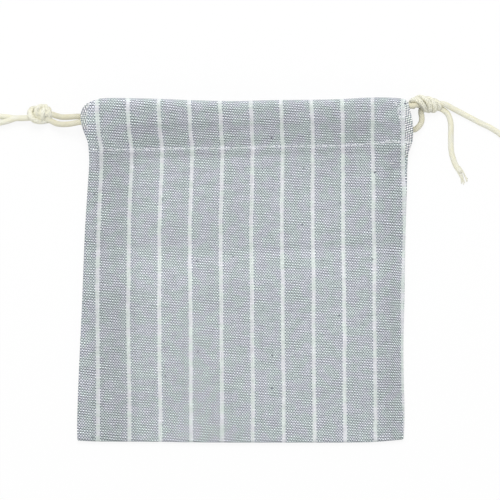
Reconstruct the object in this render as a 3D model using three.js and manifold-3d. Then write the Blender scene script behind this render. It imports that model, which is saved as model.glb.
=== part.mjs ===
// A small cotton drawstring pouch, empty and lying flat on its back.
// Millimetres, +Z up, +Y towards the mouth, +X to the right of its front.
//
// One striped strip of cloth is folded at the bottom and sewn up both sides. Its two top edges are
// turned in as a front and a back channel, which are open at the slit in each side seam. Two
// drawstrings run round through both channels, one with its knotted ends at each side.
import * as THREE from "three";
import { mergeVertices } from "three/addons/utils/BufferGeometryUtils.js";
import Module from "manifold-3d";

const wasm = await Module();
wasm.setup();
const { clamp, lerp, smoothstep } = THREE.MathUtils;

// ---- Driving dimensions ----
const CLOTH = 1.0; // one layer of cloth
const CORD = 2.3; // drawstring diameter
const CLEAR = 0.3; // space kept between two pieces
const CHANNEL = CORD + 2 * CLEAR; // height inside a channel
const SEAM = 2.0; // width of the closed side seams and bottom fold
const SIDE_GAP = 0.5; // how far the two layers stay apart at the sides
const CROWN = 1.2; // how fast the space between the layers closes towards the sides
const HEM = 3.5; // turned-in edge below the channel stitching
const RAMP = 3.2; // height over which a channel opens out above its stitching
const EDGE_ROUND = 0.5; // rounding of the outer edges
const RIPPLE = 0.3; // unevenness of the front layer
const SLIT_FOOT = 43; // height at which the side seams stop

// Heights along the middle of the pouch: the bottom fold, the channel stitching and the top folds.
const BOTTOM = -69;
const STITCHING = 49.4;
const TOP = 68.4;

// The lying outline and the space between the two layers, a row for each height.
const SECTIONS = [
  { y: -69.0, left: -67.0, right: 63.8, gap: 0.5 },
  { y: -61.6, left: -67.2, right: 64.0, gap: 1.0 },
  { y: -48.0, left: -66.8, right: 63.7, gap: 2.2 },
  { y: -32.0, left: -66.2, right: 63.5, gap: 3.5 },
  { y: -12.0, left: -65.3, right: 63.8, gap: 5.2 },
  { y: 12.0, left: -64.2, right: 64.0, gap: 7.2 },
  { y: 28.0, left: -63.4, right: 64.6, gap: 8.8 },
  { y: 40.0, left: -62.7, right: 65.2, gap: 9.6 },
  { y: 45.6, left: -62.7, right: 65.6, gap: 8.0 },
  { y: 49.4, left: -62.9, right: 66.7, gap: 7.2 },
  { y: 52.6, left: -63.3, right: 67.2, gap: 5.4 },
  { y: 57.2, left: -64.7, right: 67.0, gap: 5.0 },
  { y: 60.6, left: -65.4, right: 66.6, gap: 5.0 },
  { y: 63.6, left: -64.8, right: 66.2, gap: 5.0 },
  { y: 66.2, left: -63.1, right: 65.7, gap: 5.0 },
  { y: 67.6, left: -61.2, right: 65.0, gap: 5.0 },
  { y: 68.4, left: -59.0, right: 64.2, gap: 5.0 },
];

// How the bottom fold, the channel stitching and the top folds wander, a row for each place across.
const EDGE_LINES = [
  { x: -67, bottom: -68.2, stitching: 47.9, top: 68.8 },
  { x: -54, bottom: -68.7, stitching: 48.1, top: 68.8 },
  { x: -34, bottom: -68.8, stitching: 48.4, top: 68.5 },
  { x: -4, bottom: -69.0, stitching: 48.8, top: 67.5 },
  { x: 18, bottom: -69.1, stitching: 49.5, top: 68.2 },
  { x: 38, bottom: -69.1, stitching: 49.7, top: 68.4 },
  { x: 51, bottom: -68.9, stitching: 50.5, top: 69.1 },
  { x: 64, bottom: -67.5, stitching: 51.2, top: 69.0 },
];

// Free stretches of the two drawstrings, as x, y, z of their middle line. Each side has a strand from
// the front channel, a strand from the back channel, and two tails past the knot.
const LEFT_FRONT_STRAND = [
  [-65.6, 59.2, 7.85],
  [-67.4, 58.9, 7.7],
  [-70.0, 58.4, 6.8],
  [-72.7, 58.3, 5.6],
  [-75.2, 58.6, 4.5],
  [-77.1, 59.5, 3.6],
];
const LEFT_BACK_STRAND = [
  [-65.6, 61.5, 2.45],
  [-67.6, 61.5, 2.4],
  [-70.4, 61.3, 2.3],
  [-73.2, 61.3, 2.6],
  [-75.4, 61.8, 3.2],
  [-77.3, 62.4, 3.8],
];
const LEFT_UPPER_TAIL = [
  [-87.1, 60.9, 1.2],
  [-89.8, 60.8, 1.2],
  [-92.2, 60.95, 1.2],
  [-94.8, 61.3, 1.2],
  [-98.4, 61.6, 1.2],
  [-103.0, 62.3, 1.2],
  [-109.0, 63.8, 1.2],
  [-113.6, 64.5, 1.2],
  [-117.4, 64.2, 1.2],
];
const LEFT_LOWER_TAIL = [
  [-87.2, 60.9, 3.9],
  [-89.8, 60.9, 3.9],
  [-91.8, 60.7, 3.85],
  [-93.6, 60.1, 3.6],
  [-95.4, 59.5, 3.2],
  [-97.8, 59.0, 2.7],
  [-100.6, 58.6, 1.9],
  [-103.4, 58.2, 1.3],
  [-108.6, 57.4, 1.2],
  [-114.4, 57.8, 1.2],
  [-119.0, 59.4, 1.2],
];
const RIGHT_FRONT_STRAND = [
  [66.4, 65.6, 7.85],
  [67.5, 65.8, 7.75],
  [68.5, 66.1, 7.4],
];
const RIGHT_BACK_STRAND = [
  [67.75, 56.2, 2.45],
  [68.4, 56.35, 2.4],
  [69.8, 57.5, 2.2],
  [70.9, 59.4, 2.0],
  [71.0, 61.6, 2.0],
  [70.7, 63.2, 2.4],
];
const RIGHT_LONG_TAIL = [
  [79.9, 66.5, 3.1],
  [82.6, 65.2, 2.1],
  [85.8, 63.5, 1.3],
  [90.2, 61.2, 1.2],
  [94.6, 58.9, 1.2],
  [98.4, 57.1, 1.2],
  [102.0, 54.8, 1.2],
  [105.4, 51.9, 1.2],
];
const RIGHT_SHORT_TAIL = [
  [79.5, 64.2, 1.3],
  [81.5, 62.4, 1.2],
  [82.6, 59.2, 1.2],
  [82.7, 54.0, 1.2],
  [82.8, 48.6, 1.2],
  [83.5, 45.0, 1.2],
  [85.0, 41.4, 1.2],
  [87.0, 38.9, 1.2],
];

// The drawn-tight knots, as a body wound round the line from one end to the other.
const LEFT_KNOT = {
  from: [-78.2, 62.5, 3.9],
  to: [-86.7, 61.2, 3.6],
  startRadius: 3.7,
  endRadius: 3.3,
  turns: 3,
  lean: 0.35,
};
const RIGHT_KNOT = {
  from: [66.9, 66.6, 4.6],
  to: [79.1, 65.6, 2.2],
  startRadius: 2.8,
  endRadius: 1.9,
  turns: 4,
  lean: 0.45,
};

// ---- Materials ----
function finish(name, color, roughness) {
  return new THREE.MeshStandardMaterial({ name, color, roughness, metalness: 0 });
}
const striped = () => finish("striped cotton", 0xb4bbbf, 0.9);
const cotton = () => finish("cotton cord", 0xe9e2cf, 0.85);

// ---- Tables as smooth lines ----
// A cubic runs from row to row, with each row's slope taken from the rows beside it.
function smoothLine(rows, along, column) {
  const at = rows.map((row) => row[along]);
  const value = rows.map((row) => row[column]);
  const last = rows.length - 1;
  const slope = value.map((_, i) => {
    const before = Math.max(i - 1, 0);
    const after = Math.min(i + 1, last);
    return (value[after] - value[before]) / (at[after] - at[before]);
  });
  return (place) => {
    const p = clamp(place, at[0], at[last]);
    const i = Math.min(at.findLastIndex((a) => a <= p), last - 1);
    const width = at[i + 1] - at[i];
    const t = (p - at[i]) / width;
    const rise = value[i + 1] - value[i];
    const leave = slope[i] * width - rise;
    const arrive = rise - slope[i + 1] * width;
    return value[i] + rise * t + t * (1 - t) * (leave * (1 - t) + arrive * t);
  };
}

const leftEdge = smoothLine(SECTIONS, "y", "left");
const rightEdge = smoothLine(SECTIONS, "y", "right");
const middleGap = smoothLine(SECTIONS, "y", "gap");
const bottomFold = smoothLine(EDGE_LINES, "x", "bottom");
const stitchLine = smoothLine(EDGE_LINES, "x", "stitching");
const topFold = smoothLine(EDGE_LINES, "x", "top");

// ---- The cloth's surfaces, at a place x across and a height y along the middle ----
// The lying height, once the bottom fold, the stitching and the top folds wander.
function lyingHeight(x, y) {
  if (y < 0) return lerp(0, bottomFold(x), y / BOTTOM);
  if (y < STITCHING) return lerp(0, stitchLine(x), y / STITCHING);
  return lerp(stitchLine(x), topFold(x), (y - STITCHING) / (TOP - STITCHING));
}

// One side of the pouch: a single layer in the body, two at the hem, and the channel above it.
function sideThickness(y) {
  const hem = smoothstep(y, STITCHING - HEM - 1, STITCHING - HEM);
  const channel = smoothstep(y, STITCHING, STITCHING + RAMP);
  return CLOTH * (1 + hem) + CHANNEL * channel;
}

// The space between the two sides, widest in the middle and a little uneven.
function gapAt(x, y) {
  const left = leftEdge(y);
  const right = rightEdge(y);
  const across = clamp((2 * x - left - right) / (right - left), -1, 1);
  const crown = (1 - across ** 2) ** CROWN;
  const uneven = RIPPLE * Math.sin(x / 11 + 0.6) * Math.cos(y / 17 - 0.4);
  const open = smoothstep(y, BOTTOM, 0);
  return SIDE_GAP + crown * (middleGap(y) - SIDE_GAP + open * uneven);
}

const backInner = (x, y) => sideThickness(y);
const frontInner = (x, y) => sideThickness(y) + gapAt(x, y);
const frontOuter = (x, y) => 2 * sideThickness(y) + gapAt(x, y);

// Middle height of a cord inside each channel.
const BACK_CORD = CLOTH + CHANNEL / 2;
const frontCord = (x, y) => frontOuter(x, y) - CLOTH - CHANNEL / 2;

// ---- Solids ----
function solid(geometry) {
  const bare = geometry.clone();
  bare.deleteAttribute("normal");
  bare.deleteAttribute("uv");
  const merged = mergeVertices(bare, 1e-4);
  return new wasm.Manifold(
    new wasm.Mesh({
      numProp: 3,
      vertProperties: new Float32Array(merged.attributes.position.array),
      triVerts: new Uint32Array(merged.index.array),
    }),
  );
}

function geometryOf(manifold) {
  const { vertProperties, triVerts } = manifold.getMesh();
  const geometry = new THREE.BufferGeometry();
  geometry.setAttribute("position", new THREE.BufferAttribute(vertProperties, 3));
  geometry.setIndex(new THREE.BufferAttribute(triVerts, 1));
  return geometry;
}

// A closed body between two height surfaces, over a patch of the pouch. `edge(y)` gives its left and
// right ends at each height, and `round` draws in its upper and lower rims.
function layerBody({ columns, heights, edge, low, high, round = 0 }) {
  const rows = heights.length - 1;
  const box = new THREE.BoxGeometry(2, 2, 2, columns, rows, 2);
  const p = box.attributes.position;
  for (let i = 0; i < p.count; i++) {
    const across = p.getX(i);
    const along = p.getY(i);
    const level = p.getZ(i);
    const inset = level === 0 ? 0 : round;
    const y = heights[Math.round(((along + 1) / 2) * rows)];
    const [left, right] = edge(y);
    const endInset = Math.abs(across) === 1 ? inset * across : 0;
    const rimInset = Math.abs(along) === 1 ? inset * along : 0;
    const x = lerp(left, right, (across + 1) / 2) - endInset;
    const z = lerp(low(x, y), high(x, y), (level + 1) / 2);
    p.setXYZ(i, x, lyingHeight(x, y) - rimInset, z);
  }
  return solid(box);
}

// The table's heights between two limits, with more of them where two lie far apart.
function heightsBetween(low, high) {
  const LONGEST_STEP = 6;
  const inside = SECTIONS.map((row) => row.y).filter((y) => y > low && y < high);
  const ends = [low, ...inside, high];
  return ends.flatMap((y, i) => {
    if (i === 0) return [y];
    const before = ends[i - 1];
    const parts = Math.ceil((y - before) / LONGEST_STEP);
    return Array.from({ length: parts }, (_, k) => lerp(before, y, (k + 1) / parts));
  });
}

function block([x0, x1], [y0, y1], [z0, z1]) {
  const box = new THREE.BoxGeometry(x1 - x0, y1 - y0, z1 - z0);
  box.translate((x0 + x1) / 2, (y0 + y1) / 2, (z0 + z1) / 2);
  return solid(box);
}

// The cloth: an outer body, less the space between its layers, the two channels, and the places at
// the slits where each drawstring turns from one channel into the other.
function pouchCloth() {
  const PAST = 6; // how far a cutting body runs past the cloth
  const MOUTH_ROUND = 0.6; // rounding of the top folds towards the mouth
  const outer = layerBody({
    columns: 24,
    heights: heightsBetween(BOTTOM, TOP),
    edge: (y) => [leftEdge(y), rightEdge(y)],
    low: () => 0,
    high: frontOuter,
    round: EDGE_ROUND,
  });

  const sideInset = (y) => lerp(SEAM, -PAST, smoothstep(y, SLIT_FOOT - 1, SLIT_FOOT + 1));
  const flare = (y) => MOUTH_ROUND * smoothstep(y, TOP - 2 * MOUTH_ROUND, TOP);
  const inside = layerBody({
    columns: 18,
    heights: [...heightsBetween(BOTTOM + SEAM, TOP), TOP + PAST],
    edge: (y) => [leftEdge(y) + sideInset(y), rightEdge(y) - sideInset(y)],
    low: (x, y) => backInner(x, y) - flare(y),
    high: (x, y) => frontInner(x, y) + flare(y),
  });

  const channelHeights = heightsBetween(STITCHING + RAMP / 4, TOP - CLOTH);
  const pastSides = (y) => [leftEdge(y) - PAST, rightEdge(y) + PAST];
  const frontChannel = layerBody({
    columns: 18,
    heights: channelHeights,
    edge: pastSides,
    low: (x, y) => frontInner(x, y) + CLOTH,
    high: (x, y) => frontOuter(x, y) - CLOTH,
  });
  const backChannel = layerBody({
    columns: 18,
    heights: channelHeights,
    edge: pastSides,
    low: () => CLOTH,
    high: (x, y) => backInner(x, y) - CLOTH,
  });

  const betweenCords = [BACK_CORD, BACK_CORD + CHANNEL + 2 * CLOTH + SIDE_GAP];
  const leftTurn = block([-80, -55.5], [54.3, 66.3], betweenCords);
  const rightTurn = block([57, 80], [58.9, 62.9], betweenCords);
  return geometryOf(
    outer
      .subtract(inside)
      .subtract(frontChannel)
      .subtract(backChannel)
      .subtract(leftTurn)
      .subtract(rightTurn),
  );
}

// A round cord along its middle line, with a step every `every` diameters.
function cordTube(points, every = 2) {
  const SIDES = 8;
  const path = new THREE.CatmullRomCurve3(points.map((point) => new THREE.Vector3(...point)));
  const ring = Array.from({ length: SIDES }, (_, i) => {
    const angle = (2 * Math.PI * i) / SIDES;
    return new THREE.Vector2(Math.cos(angle), Math.sin(angle)).multiplyScalar(CORD / 2);
  });
  return new THREE.ExtrudeGeometry(new THREE.Shape(ring), {
    steps: Math.max(3, Math.round(path.getLength() / (every * CORD))),
    bevelEnabled: false,
    extrudePath: path,
  });
}

// A cord's middle line along a channel from one place across to another, wandering a little, at the
// channel's own height.
function channelRun([x0, y0], [x1, y1], heightAt) {
  const SPACING = 9;
  const WANDER = 0.3;
  const count = Math.round(Math.abs(x1 - x0) / SPACING);
  return Array.from({ length: count + 1 }, (_, i) => {
    const x = lerp(x0, x1, i / count);
    const y = lerp(y0, y1, i / count) + WANDER * Math.sin((3 * Math.PI * i) / count);
    return [x, y, heightAt(x, y)];
  });
}

// The left drawstring inside the pouch: along the front channel, round at the right slit, and back
// along the back channel.
function leftDrawstringInside() {
  const TURN = 60.9; // height at which it turns
  const backHeight = () => BACK_CORD;
  return [
    ...channelRun([-65.2, 59.3], [57.5, TURN], frontCord),
    [61.2, TURN, 7.7],
    [63.1, TURN, 6.3],
    [63.1, TURN, 4.0],
    [61.2, TURN, 2.6],
    ...channelRun([57.5, TURN], [-65.2, 61.5], backHeight),
  ];
}

// The right drawstring inside the pouch: along the front channel, round at the left slit between the
// two strands of the left one, and back along the back channel.
function rightDrawstringInside() {
  const backHeight = () => BACK_CORD;
  return [
    ...channelRun([65.9, 65.6], [-5, 64.6], frontCord),
    ...channelRun([-14, 64.6], [-54, 64.6], frontCord),
    [-58.4, 64.6, 7.95],
    [-60.9, 63.8, 6.4],
    [-61.6, 61.8, 5.15],
    [-61.6, 59.0, 5.1],
    [-60.9, 56.9, 4.0],
    [-58.4, 56.1, 2.6],
    ...channelRun([-54, 56.1], [67.1, 56.1], backHeight),
  ];
}

// A tight knot: a body of revolution round its line, swelling at each turn of cord, with the turns
// leaning to one side.
function knotBody({ from, to, startRadius, endRadius, turns, lean }) {
  const AROUND = 12;
  const ALONG = 6 * turns;
  const SWELL = 0.05;
  const BLUNTNESS = 0.35; // small is blunt, one is a plain sine
  const start = new THREE.Vector3(...from);
  const end = new THREE.Vector3(...to);
  const length = start.distanceTo(end);
  const profile = Array.from({ length: ALONG + 1 }, (_, i) => {
    const t = i / ALONG;
    const swell = 1 - SWELL * Math.cos(2 * Math.PI * turns * t);
    const onAxis = i === 0 || i === ALONG;
    const blunt = onAxis ? 0 : Math.sin(Math.PI * t) ** BLUNTNESS;
    return new THREE.Vector2(lerp(startRadius, endRadius, t) * swell * blunt, (t - 0.5) * length);
  });
  const geometry = new THREE.LatheGeometry(profile, AROUND);
  const leaning = new THREE.Matrix4().makeShear(lean, 0, 0, 0, 0, 0);
  const along = new THREE.Vector3().subVectors(end, start).normalize();
  const turn = new THREE.Quaternion().setFromUnitVectors(new THREE.Vector3(0, 1, 0), along);
  geometry.applyMatrix4(leaning);
  geometry.applyQuaternion(turn);
  const middle = new THREE.Vector3().addVectors(start, end).multiplyScalar(0.5);
  geometry.translate(middle.x, middle.y, middle.z);
  return geometry;
}

// ---- The part ----
const pouch = new THREE.Group();

function addPiece(name, geometry, material) {
  const piece = new THREE.Mesh(geometry, material);
  piece.name = name;
  pouch.add(piece);
}

addPiece("pouch_cloth", pouchCloth(), striped());
addPiece("left_drawstring_in_channels", cordTube(leftDrawstringInside(), 1.5), cotton());
addPiece("right_drawstring_in_channels", cordTube(rightDrawstringInside(), 1.5), cotton());
addPiece("left_front_strand", cordTube(LEFT_FRONT_STRAND), cotton());
addPiece("left_back_strand", cordTube(LEFT_BACK_STRAND), cotton());
addPiece("left_knot", knotBody(LEFT_KNOT), cotton());
addPiece("left_upper_tail", cordTube(LEFT_UPPER_TAIL), cotton());
addPiece("left_lower_tail", cordTube(LEFT_LOWER_TAIL), cotton());
addPiece("right_front_strand", cordTube(RIGHT_FRONT_STRAND, 0.5), cotton());
addPiece("right_back_strand", cordTube(RIGHT_BACK_STRAND, 1), cotton());
addPiece("right_knot", knotBody(RIGHT_KNOT), cotton());
addPiece("right_long_tail", cordTube(RIGHT_LONG_TAIL), cotton());
addPiece("right_short_tail", cordTube(RIGHT_SHORT_TAIL), cotton());

export default pouch;
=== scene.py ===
"""A small striped cotton drawstring pouch, empty and lying flat on its back.

Metres, +Z up, +Y towards the mouth, +X to the right of the pouch's front. The pouch is one strip of
cloth, folded at the bottom and sewn up both sides, with its two top edges turned in as channels for
two drawstrings. Each drawstring leaves by one side, and its two ends are knotted together there.
"""

import math
from typing import NamedTuple

import bpy
import numpy as np
from bpy.props import FloatProperty, FloatVectorProperty, IntProperty, PointerProperty
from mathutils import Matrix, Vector


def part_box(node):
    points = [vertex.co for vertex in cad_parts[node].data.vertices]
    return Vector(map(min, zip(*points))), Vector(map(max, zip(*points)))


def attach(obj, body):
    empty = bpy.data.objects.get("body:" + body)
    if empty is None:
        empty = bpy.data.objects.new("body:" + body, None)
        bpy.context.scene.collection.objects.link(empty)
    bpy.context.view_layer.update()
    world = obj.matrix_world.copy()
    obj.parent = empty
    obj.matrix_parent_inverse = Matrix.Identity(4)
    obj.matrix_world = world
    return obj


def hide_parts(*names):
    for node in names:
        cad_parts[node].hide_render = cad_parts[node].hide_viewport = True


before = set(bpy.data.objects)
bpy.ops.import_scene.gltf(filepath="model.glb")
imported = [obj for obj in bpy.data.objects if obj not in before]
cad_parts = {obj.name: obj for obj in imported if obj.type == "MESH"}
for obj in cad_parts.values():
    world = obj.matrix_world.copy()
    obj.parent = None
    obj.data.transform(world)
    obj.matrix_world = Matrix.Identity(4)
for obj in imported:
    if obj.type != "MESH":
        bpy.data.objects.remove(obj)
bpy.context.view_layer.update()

bl_info = {
    "name": "Striped Drawstring Pouch",
    "version": (1, 0, 0),
    "blender": (4, 5, 0),
    "location": "View3D > Sidebar > Pouch",
    "description": "Adds a small striped cotton pouch with knotted drawstrings, lying flat",
    "category": "Add Mesh",
}

# ---- Sizes shared with the solids ----
LAYER = 0.0010  # room that one layer of cloth has in the solids
CORD = 0.0023  # drawstring diameter
CHANNEL = CORD + 0.0006  # height inside a channel
SIDE_GAP = 0.0005  # space between the two sides along the seams
CROWN = 1.2  # how fast the space between the sides closes towards the seams
HEM = 0.0035  # turned-in edge below the channel stitching
RAMP = 0.0032  # height over which a channel opens out above its stitching
RIPPLE = 0.0003  # unevenness of the front
SLIT_FOOT = 0.0430  # height at which the side seams stop
BOTTOM = -0.0690
STITCHING = 0.0494
TOP = 0.0684
BACK_CORD = LAYER + CHANNEL / 2  # middle height of a cord in the back channel

# The lying outline and the space between the two sides, a row for each height along the middle.
SECTIONS = (  # height, left edge, right edge, gap in the middle
    (-0.0690, -0.0670, 0.0638, 0.0005),
    (-0.0616, -0.0671, 0.0641, 0.0010),
    (-0.0540, -0.0669, 0.0641, 0.0017),
    (-0.0480, -0.0667, 0.0639, 0.0022),
    (-0.0320, -0.0660, 0.0637, 0.0035),
    (-0.0120, -0.0651, 0.0641, 0.0052),
    (0.0120, -0.0642, 0.0645, 0.0072),
    (0.0280, -0.0633, 0.0650, 0.0088),
    (0.0400, -0.0625, 0.0653, 0.0096),
    (0.0456, -0.0622, 0.0658, 0.0080),
    (0.0494, -0.0624, 0.0671, 0.0072),
    (0.0526, -0.0628, 0.0675, 0.0054),
    (0.0572, -0.0646, 0.0674, 0.0050),
    (0.0606, -0.0655, 0.0668, 0.0050),
    (0.0636, -0.0654, 0.0662, 0.0050),
    (0.0662, -0.0638, 0.0656, 0.0050),
    (0.0676, -0.0612, 0.0648, 0.0050),
    (0.0684, -0.0585, 0.0640, 0.0050),
)

# How the bottom fold, the channel stitching and the top folds wander across the pouch.
EDGE_LINES = (  # x, bottom fold, stitching, top fold
    (-0.067, -0.0684, 0.0479, 0.0680),
    (-0.061, -0.0687, 0.0480, 0.0683),
    (-0.054, -0.0688, 0.0481, 0.0688),
    (-0.034, -0.0689, 0.0484, 0.0684),
    (-0.022, -0.0691, 0.0486, 0.0679),
    (-0.004, -0.0692, 0.0488, 0.0675),
    (0.012, -0.0692, 0.0493, 0.0679),
    (0.025, -0.0692, 0.0496, 0.0680),
    (0.038, -0.0692, 0.0497, 0.0683),
    (0.051, -0.0690, 0.0505, 0.0690),
    (0.059, -0.0684, 0.0510, 0.0689),
    (0.064, -0.0679, 0.0512, 0.0685),
)

# Where the first, sixth, tenth and last white stripes lie, a row for each lying height.
STRIPES = (  # height, then x of the four stripes
    (-0.0590, -0.0587, 0.0034, 0.0525, 0.0641),
    (-0.0440, -0.0587, 0.0032, 0.0522, 0.0633),
    (-0.0120, -0.0589, 0.0030, 0.0522, 0.0632),
    (0.0040, -0.0587, 0.0028, 0.0520, 0.0637),
    (0.0190, -0.0584, 0.0028, 0.0516, 0.0640),
    (0.0310, -0.0578, 0.0029, 0.0515, 0.0638),
    (0.0400, -0.0573, 0.0031, 0.0515, 0.0635),
    (0.0450, -0.0573, 0.0032, 0.0514, 0.0635),
    (0.0496, -0.0576, 0.0033, 0.0512, 0.0635),
    (0.0550, -0.0584, 0.0029, 0.0512, 0.0634),
    (0.0604, -0.0588, 0.0028, 0.0511, 0.0634),
    (0.0656, -0.0590, 0.0024, 0.0510, 0.0632),
)


# ---- The drawstrings' middle lines, as x, y, z ----
class CordEnd(NamedTuple):
    """A free cord end: a place inside its channel, the strand up to the knot, the way through the
    knot and the tail. Of a knot's two cord ends, one names the side of the knot that it carries."""

    tail_name: str
    knot: str
    inside: tuple
    strand: list
    in_knot: list
    tail: list


CORD_ENDS = {
    "left_front": CordEnd(
        tail_name="left_lower",
        knot="left",
        inside=(-0.0622, 0.0594, 0.0079),
        strand=[
            (-0.0656, 0.0592, 0.00785), (-0.0674, 0.0589, 0.0077), (-0.0700, 0.0584, 0.0068),
            (-0.0727, 0.0583, 0.0056), (-0.0752, 0.0586, 0.0045), (-0.0771, 0.0595, 0.0036),
        ],
        in_knot=[
            (-0.0798, 0.0606, 0.0036), (-0.0843, 0.0610, 0.0044),
        ],
        tail=[
            (-0.0872, 0.0609, 0.0039), (-0.0898, 0.0609, 0.0039), (-0.0918, 0.0607, 0.00385),
            (-0.0936, 0.0601, 0.0036), (-0.0954, 0.0595, 0.0032), (-0.0978, 0.0590, 0.0027),
            (-0.1006, 0.0586, 0.0019), (-0.1034, 0.0582, 0.0013), (-0.1086, 0.0574, 0.0012),
            (-0.1144, 0.0578, 0.0012), (-0.1190, 0.0594, 0.0012),
        ],
    ),
    "left_back": CordEnd(
        tail_name="left_upper",
        knot="",
        inside=(-0.0622, 0.0614, 0.00245),
        strand=[
            (-0.0656, 0.0615, 0.00245), (-0.0676, 0.0615, 0.0024), (-0.0704, 0.0613, 0.0023),
            (-0.0732, 0.0613, 0.0026), (-0.0754, 0.0618, 0.0032), (-0.0773, 0.0624, 0.0038),
        ],
        in_knot=[
            (-0.0798, 0.0626, 0.0036), (-0.0843, 0.0612, 0.0019),
        ],
        tail=[
            (-0.0871, 0.0609, 0.0012), (-0.0898, 0.0608, 0.0012), (-0.0922, 0.06095, 0.0012),
            (-0.0948, 0.0613, 0.0012), (-0.0984, 0.0616, 0.0012), (-0.1030, 0.0623, 0.0012),
            (-0.1090, 0.0638, 0.0012), (-0.1136, 0.0645, 0.0012), (-0.1174, 0.0642, 0.0012),
        ],
    ),
    "right_front": CordEnd(
        tail_name="right_long",
        knot="right",
        inside=(0.0632, 0.0656, 0.0079),
        strand=[
            (0.0664, 0.0656, 0.00785), (0.0675, 0.0658, 0.00775), (0.0685, 0.0661, 0.0074),
        ],
        in_knot=[
            (0.0702, 0.0665, 0.0058), (0.0725, 0.0666, 0.0044), (0.0765, 0.0666, 0.0035),
        ],
        tail=[
            (0.0799, 0.0665, 0.0031), (0.0826, 0.0652, 0.0021), (0.0858, 0.0635, 0.0013),
            (0.0902, 0.0612, 0.0012), (0.0946, 0.0589, 0.0012), (0.0984, 0.0571, 0.0012),
            (0.1020, 0.0548, 0.0012), (0.1054, 0.0519, 0.0012),
        ],
    ),
    "right_back": CordEnd(
        tail_name="right_short",
        knot="",
        inside=(0.0645, 0.0561, 0.00245),
        strand=[
            (0.06775, 0.0562, 0.00245), (0.0684, 0.05635, 0.0024), (0.0698, 0.0575, 0.0022),
            (0.0709, 0.0594, 0.0020), (0.0710, 0.0616, 0.0020), (0.0707, 0.0632, 0.0024),
        ],
        in_knot=[
            (0.0712, 0.0650, 0.0028), (0.0735, 0.0657, 0.0026), (0.0768, 0.0652, 0.0019),
        ],
        tail=[
            (0.0795, 0.0642, 0.0013), (0.0815, 0.0624, 0.0012), (0.0826, 0.0592, 0.0012),
            (0.0827, 0.0540, 0.0012), (0.0828, 0.0486, 0.0012), (0.0835, 0.0450, 0.0012),
            (0.0850, 0.0414, 0.0012), (0.0870, 0.0389, 0.0012),
        ],
    ),
}


class Knot(NamedTuple):
    """A knot's packed inside, as the ends of each core's axis with the radii there, and the turns of
    cord round it, each from where it comes up to where it goes under."""

    cores: list
    turns: list


KNOTS = {
    "left": Knot(
        cores=[
            (((-0.0782, 0.0625, 0.0039), (-0.0867, 0.0612, 0.0036)), (0.0021, 0.0021)),
            (((-0.0840, 0.0628, 0.0042), (-0.0778, 0.0630, 0.0044)), (0.0026, 0.0024)),
        ],
        turns=[
            [
                (-0.0838, 0.0650, 0.0018), (-0.0852, 0.0646, 0.0034), (-0.0859, 0.0632, 0.0050),
                (-0.0856, 0.0614, 0.0060), (-0.0842, 0.0599, 0.0058), (-0.0822, 0.0593, 0.0050),
                (-0.0803, 0.0594, 0.0038), (-0.0792, 0.0602, 0.0022),
            ],
            [
                (-0.0826, 0.0604, 0.0036), (-0.0833, 0.0622, 0.0055), (-0.0832, 0.0641, 0.0060),
                (-0.0818, 0.0655, 0.0057), (-0.0800, 0.0652, 0.0056), (-0.0787, 0.0638, 0.0056),
                (-0.0781, 0.0620, 0.0048), (-0.0784, 0.0602, 0.0034), (-0.0792, 0.0592, 0.0020),
            ],
            [
                (-0.0816, 0.0590, 0.0030), (-0.0813, 0.0603, 0.0050), (-0.0809, 0.0619, 0.0064),
                (-0.0806, 0.0635, 0.0066), (-0.0801, 0.0650, 0.0054), (-0.0796, 0.0660, 0.0034),
            ],
            [
                (-0.0830, 0.0592, 0.0016), (-0.0846, 0.0604, 0.0013), (-0.0853, 0.0622, 0.0013),
                (-0.0846, 0.0640, 0.0014), (-0.0828, 0.0651, 0.0018), (-0.0808, 0.0653, 0.0024),
                (-0.0792, 0.0642, 0.0026),
            ],
            [
                (-0.0789, 0.0652, 0.0034), (-0.0784, 0.0636, 0.0018), (-0.0788, 0.0616, 0.0013),
                (-0.0800, 0.0600, 0.0014), (-0.0816, 0.0588, 0.0024),
            ],
        ],
    ),
    "right": Knot(
        cores=[
            (((0.0671, 0.0666, 0.0046), (0.0789, 0.0656, 0.0024)), (0.0019, 0.0013)),
        ],
        turns=[
            [
                (0.0680, 0.0650, 0.0030), (0.0667, 0.0662, 0.0044), (0.0670, 0.0677, 0.0064),
                (0.0684, 0.0682, 0.0082), (0.0701, 0.0674, 0.0086), (0.0714, 0.0659, 0.0072),
                (0.0722, 0.0645, 0.0050), (0.0722, 0.0640, 0.0030), (0.0712, 0.0650, 0.0014),
            ],
            [
                (0.0684, 0.0672, 0.0028), (0.0691, 0.0689, 0.0040), (0.0706, 0.0692, 0.0058),
                (0.0724, 0.0684, 0.0066), (0.0737, 0.0667, 0.0062), (0.0742, 0.0648, 0.0046),
                (0.0738, 0.0638, 0.0028), (0.0724, 0.0646, 0.0014),
            ],
            [
                (0.0716, 0.0676, 0.0020), (0.0727, 0.0687, 0.0034), (0.0743, 0.0684, 0.0048),
                (0.0757, 0.0668, 0.0050), (0.0762, 0.0648, 0.0040), (0.0757, 0.0638, 0.0024),
                (0.0744, 0.0646, 0.0013),
            ],
            [
                (0.0740, 0.0672, 0.0018), (0.0752, 0.0680, 0.0028), (0.0767, 0.0676, 0.0038),
                (0.0778, 0.0664, 0.0038), (0.0780, 0.0650, 0.0028), (0.0772, 0.0642, 0.0016),
            ],
        ],
    ),
}


class Fray(NamedTuple):
    """The loose yarns at a cut end: their reach past it, their spread aside, the seed of their
    unevenness and how far they turn towards -Y."""

    reach: float
    spread: float
    seed: int
    droop: float


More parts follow.
